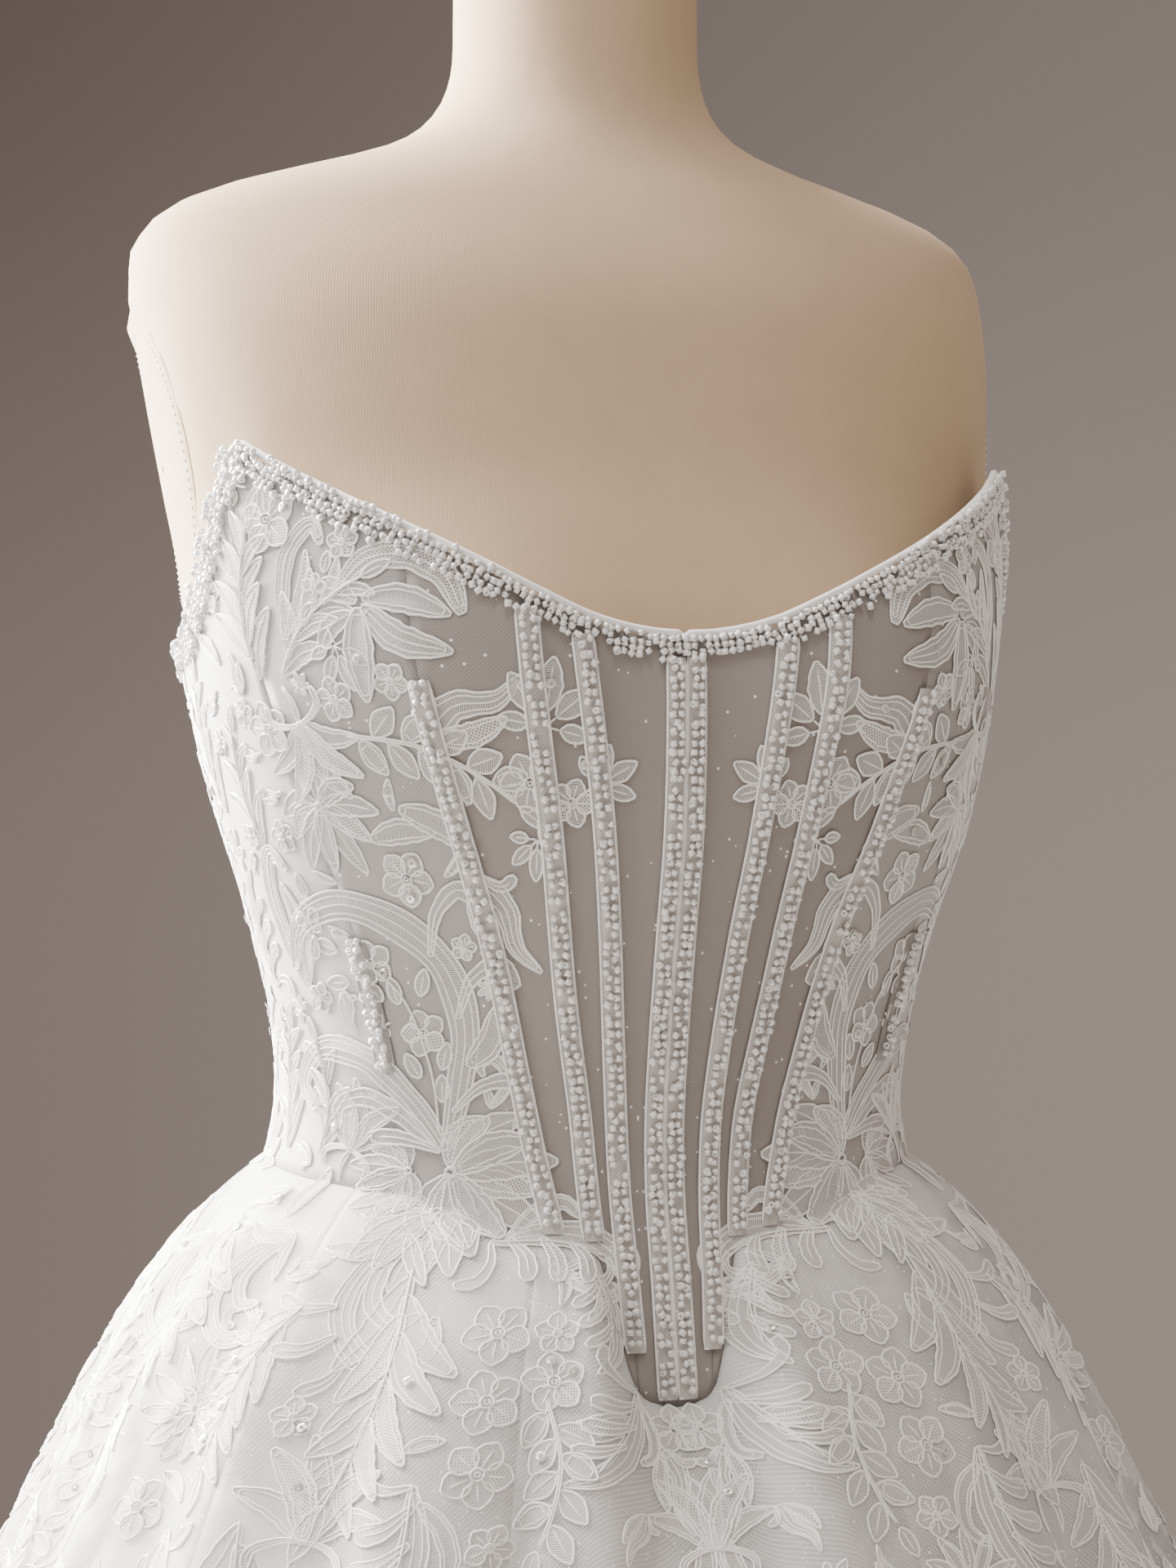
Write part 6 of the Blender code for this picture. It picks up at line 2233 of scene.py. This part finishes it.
    def sew(self, store: Store, side: Side, one: Laid, points: Array, normals: Array) -> None:
        """Add a cord, or a shape with its outline, its inner outline and its rib.

        Args:
            store: where it goes.
            side: the side of the gown.
            one: the shape or cord.
            points: its points in space.
            normals: outwards at each.
        """
        if isinstance(one.drawn, Line):
            self.cord(store, points[:, 0], normals[:, 0], one.drawn.radius)
            return
        run = arc_lengths(points[:, 1], 0)
        uv = np.stack(np.broadcast_arrays(run[:, None] + 0.1 * self.random.random(), one.offset), axis=-1)
        faces, marks = grid_faces(*points.shape[:2])
        if side is Side.RIGHT:
            faces, marks = faces[:, ::-1], marks[:, ::-1]
        store.add(points.reshape(-1, 3), faces, uv.reshape(-1, 2)[marks], one.drawn.fill.value)
        self.outline(store, points, normals, 1.0, self.cord_radius)
        if one.drawn.strands & 2:
            self.outline(store, points[1:-1], normals[1:-1], self.inner_share, self.strand_radius)
        if one.drawn.strands & 1:
            path = points[:-1, 1] + normals[:-1, 1] * self.cord_rise
            self.cord(store, path, normals[:-1, 1], self.strand_radius)
        if self.random.random() < self.sequin_share:
            middle = len(points) // 2
            self.spots.append(points[middle, 1] + normals[middle, 1] * self.sequin_lift)
            self.outward.append(normals[middle, 1])

    def outline(self, store: Store, points: Array, normals: Array, share: float, radius: float) -> None:
        """Add a loop of cord at a share of the way from a shape's middle line to its edges."""
        near, far = (points[:, 1] + (points[:, column] - points[:, 1]) * share for column in (0, 2))
        path = np.concatenate([near, points[-1:, 1], far[::-1], points[:1, 1]])
        outwards = np.concatenate([normals[:, 0], normals[-1:, 1], normals[::-1, 2], normals[:1, 1]])
        self.cord(store, path + outwards * self.cord_rise, outwards, radius, closed=True)

    def cord(
        self, store: Store, points: Array, normals: Array, radius: float, closed: bool = False
    ) -> None:
        """Add one lace cord along a path."""
        store.tube(points, normals, radius, self.cord_sides, closed, Fill.CORD.value)


# The skirt


@dataclass
class Skirt:
    """The opaque under-skirt in gores and the sheer over-skirt in three pieces."""

    shape: GownShape
    finishes: Finishes
    lining_seams: tuple[float, ...] = (25.0, 60.0, 95.0, 138.0, 180.0)
    lining_names: tuple[str, ...] = ("side_front", "side", "side_back", "back")
    tulle_seam: float = 95.0
    lining_degrees: float = 1.25
    lining_rows: int = 46
    tulle_degrees: float = 1.0
    tulle_rows: int = 78
    crowding: float = 1.5
    lining_wall: float = 0.0008
    gap_radius: float = 0.2

    def build(self) -> None:
        """Build every gore and piece."""
        seams = self.lining_seams
        self.gore("lining_centre_front", -seams[0], seams[0])
        for name, start, end in zip(self.lining_names, seams[:-1], seams[1:]):
            self.gore(f"lining_{name}_left", start, end)
            self.gore(f"lining_{name}_right", -end, -start)
        self.veil("tulle_front", -self.tulle_seam, self.tulle_seam)
        self.veil("tulle_back_left", self.tulle_seam, 180.0)
        self.veil("tulle_back_right", -180.0, -self.tulle_seam)

    def grid(self, start: float, end: float, step: float, rows: int) -> tuple[Array, Array]:
        """Angles and drops of a gore: rows crowd towards the waist seam."""
        gap = math.degrees(self.shape.seam_gap / 2 / self.gap_radius)
        angle = np.radians(np.linspace(start + gap, end - gap, round((end - start) / step) + 1))
        share = np.linspace(0.0, 1.0, rows + 1)[:, None] ** self.crowding
        return angle[None, :], share * (self.shape.waist_top(angle) - self.shape.hem_height)

    def gore(self, name: str, start: float, end: float) -> None:
        """A gore of the under-skirt."""
        angle, drop = self.grid(start, end, self.lining_degrees, self.lining_rows)
        points = self.shape.lining(angle, drop, 0.5 * self.shape.creases(angle, drop))
        item = surface(f"{name}_satin", points, cloth_uv(points))
        thicken(item, self.lining_wall)
        dress(item, "white_satin", self.finishes.lining)
        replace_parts(item, name)

    def veil(self, name: str, start: float, end: float) -> None:
        """A piece of the over-skirt, one sheer layer."""
        angle, drop = self.grid(start, end, self.tulle_degrees, self.tulle_rows)
        points = self.shape.tulle(angle, drop)
        item = surface(f"{name}_net", points, cloth_uv(points))
        dress(item, "tulle", self.finishes.tulle)
        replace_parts(item, name)


# Zip, room and camera


@dataclass
class Zip:
    """The slider and the pull tab at the centre back."""

    finishes: Finishes

    def build(self) -> None:
        """Lacquer both pieces."""
        for node, body in (("zip_slider", BODY), ("zip_pull", "zip_pull")):
            item = frame["nodes"][node]
            item.data.materials.clear()
            item.data.materials.append(self.finishes.lacquer)
            LOG.info("%s rides on %s", node, body)


@dataclass
class Studio:
    """A pale floor, soft light from the upper left, a taupe backdrop, and the camera."""

    azimuth: float = math.radians(-16.0)
    distance: float = 1.10
    camera_height: float = 1.168
    lens: float = 62.5
    sensor: float = 36.0
    pitch: float = math.atan(54.0 / 3333.0)
    floor_radius: float = 2.2

    def build(self) -> None:
        """Build the floor, the lights, the world and the camera."""
        self.floor()
        self.lamp("left key", (-1.50, 0.80, 2.40), 0.8, 170.0)
        self.lamp("left rim", (-1.20, 1.20, 1.50), 0.7, 330.0)
        self.lamp("top left", (-1.00, 0.50, 3.20), 0.7, 95.0)
        self.lamp("left front", (-1.70, -0.60, 2.00), 0.8, 18.0)
        self.lamp("top front", (-0.30, -1.00, 3.30), 0.7, 24.0)
        self.world()
        self.camera()

    def floor(self) -> None:
        """A plain pale round floor."""
        steps = 64
        turn = np.linspace(0.0, FULL_TURN, steps, endpoint=False)
        reach = np.array([0.02, self.floor_radius])[:, None]
        points = np.stack(np.broadcast_arrays(reach * np.cos(turn), reach * np.sin(turn), 0.0), axis=-1)
        uv = np.zeros((2, steps + 1, 2))
        item = surface("floor", points[:, ::-1], uv, wrap=True)
        material = bpy.data.materials.new("pale floor")
        material.use_nodes = True
        shader = material.node_tree.nodes["Principled BSDF"]
        shader.inputs["Base Color"].default_value = (0.55, 0.53, 0.51, 1.0)
        shader.inputs["Roughness"].default_value = 0.7
        item.data.materials.append(material)

    @staticmethod
    def lamp(name: str, place: tuple[float, float, float], size: float, power: float) -> None:
        """A square area light that points at the bust."""
        data = bpy.data.lights.new(name, "AREA")
        data.energy = power
        data.color = (1.0, 0.965, 0.925)
        data.size = size
        item = bpy.data.objects.new(name, data)
        item.location = place
        item.rotation_mode = "QUATERNION"
        item.rotation_quaternion = (Vector((0.0, 0.0, 1.15)) - Vector(place)).to_track_quat("-Z", "Y")
        bpy.context.scene.collection.objects.link(item)

    @staticmethod
    def world() -> None:
        """A taupe backdrop for the eye, and a warmer even light for the object."""
        world = bpy.data.worlds.new("studio")
        world.use_nodes = True
        bpy.context.scene.world = world
        nodes = NodeTree(world.node_tree)
        world.node_tree.nodes.clear()
        place = nodes.node("ShaderNodeTexCoord").outputs["Generated"]
        parts = nodes.node("ShaderNodeSeparateXYZ")
        nodes.feed(parts.inputs[0], place)
        side = nodes.ramp(parts.outputs[0], -0.1, 0.55)
        low = nodes.mix(side, (0.215, 0.168, 0.148, 1.0), (0.350, 0.288, 0.256, 1.0))
        high = nodes.mix(side, (0.100, 0.074, 0.062, 1.0), (0.235, 0.194, 0.170, 1.0))
        seen = nodes.node("ShaderNodeBackground")
        nodes.feed(seen.inputs["Color"], nodes.mix(nodes.ramp(parts.outputs[2], -0.05, 0.36), low, high))
        light = nodes.node("ShaderNodeBackground")
        light.inputs["Color"].default_value = (1.0, 0.83, 0.72, 1.0)
        light.inputs["Strength"].default_value = 0.47
        mix = nodes.node("ShaderNodeMixShader")
        nodes.feed(mix.inputs[0], nodes.node("ShaderNodeLightPath").outputs["Is Camera Ray"])
        nodes.feed(mix.inputs[1], light.outputs[0])
        nodes.feed(mix.inputs[2], seen.outputs[0])
        out = nodes.node("ShaderNodeOutputWorld")
        nodes.feed(out.inputs["Surface"], mix.outputs[0])

    def camera(self) -> None:
        """The camera: at bust height, to the wearer's right of the front, looking slightly up."""
        data = bpy.data.cameras.new("camera")
        data.sensor_width = self.sensor
        data.lens = self.lens
        item = bpy.data.objects.new("camera", data)
        back = Vector((math.sin(self.azimuth), -math.cos(self.azimuth), 0.0))
        item.location = back * self.distance + Vector((0.0, 0.0, self.camera_height))
        ahead = -back * math.cos(self.pitch) + Vector((0.0, 0.0, math.sin(self.pitch)))
        item.rotation_mode = "QUATERNION"
        item.rotation_quaternion = ahead.to_track_quat("-Z", "Y")
        bpy.context.scene.collection.objects.link(item)
        bpy.context.scene.camera = item


def main() -> None:
    """Build the room, the form and the gown in order."""
    logging.basicConfig(level=logging.INFO, format="%(message)s")
    Studio().build()
    shape = GownShape()
    finishes = Finishes()
    chart = Chart(shape)
    DressForm(shape, finishes).build()
    bodice = Bodice(chart, finishes)
    bodice.build()
    Skirt(shape, finishes).build()
    lace = Lace(chart, finishes)
    lace.build()
    BeadWork(chart, bodice, lace, finishes).build()
    Zip(finishes).build()


if __name__ == "__main__":
    main()
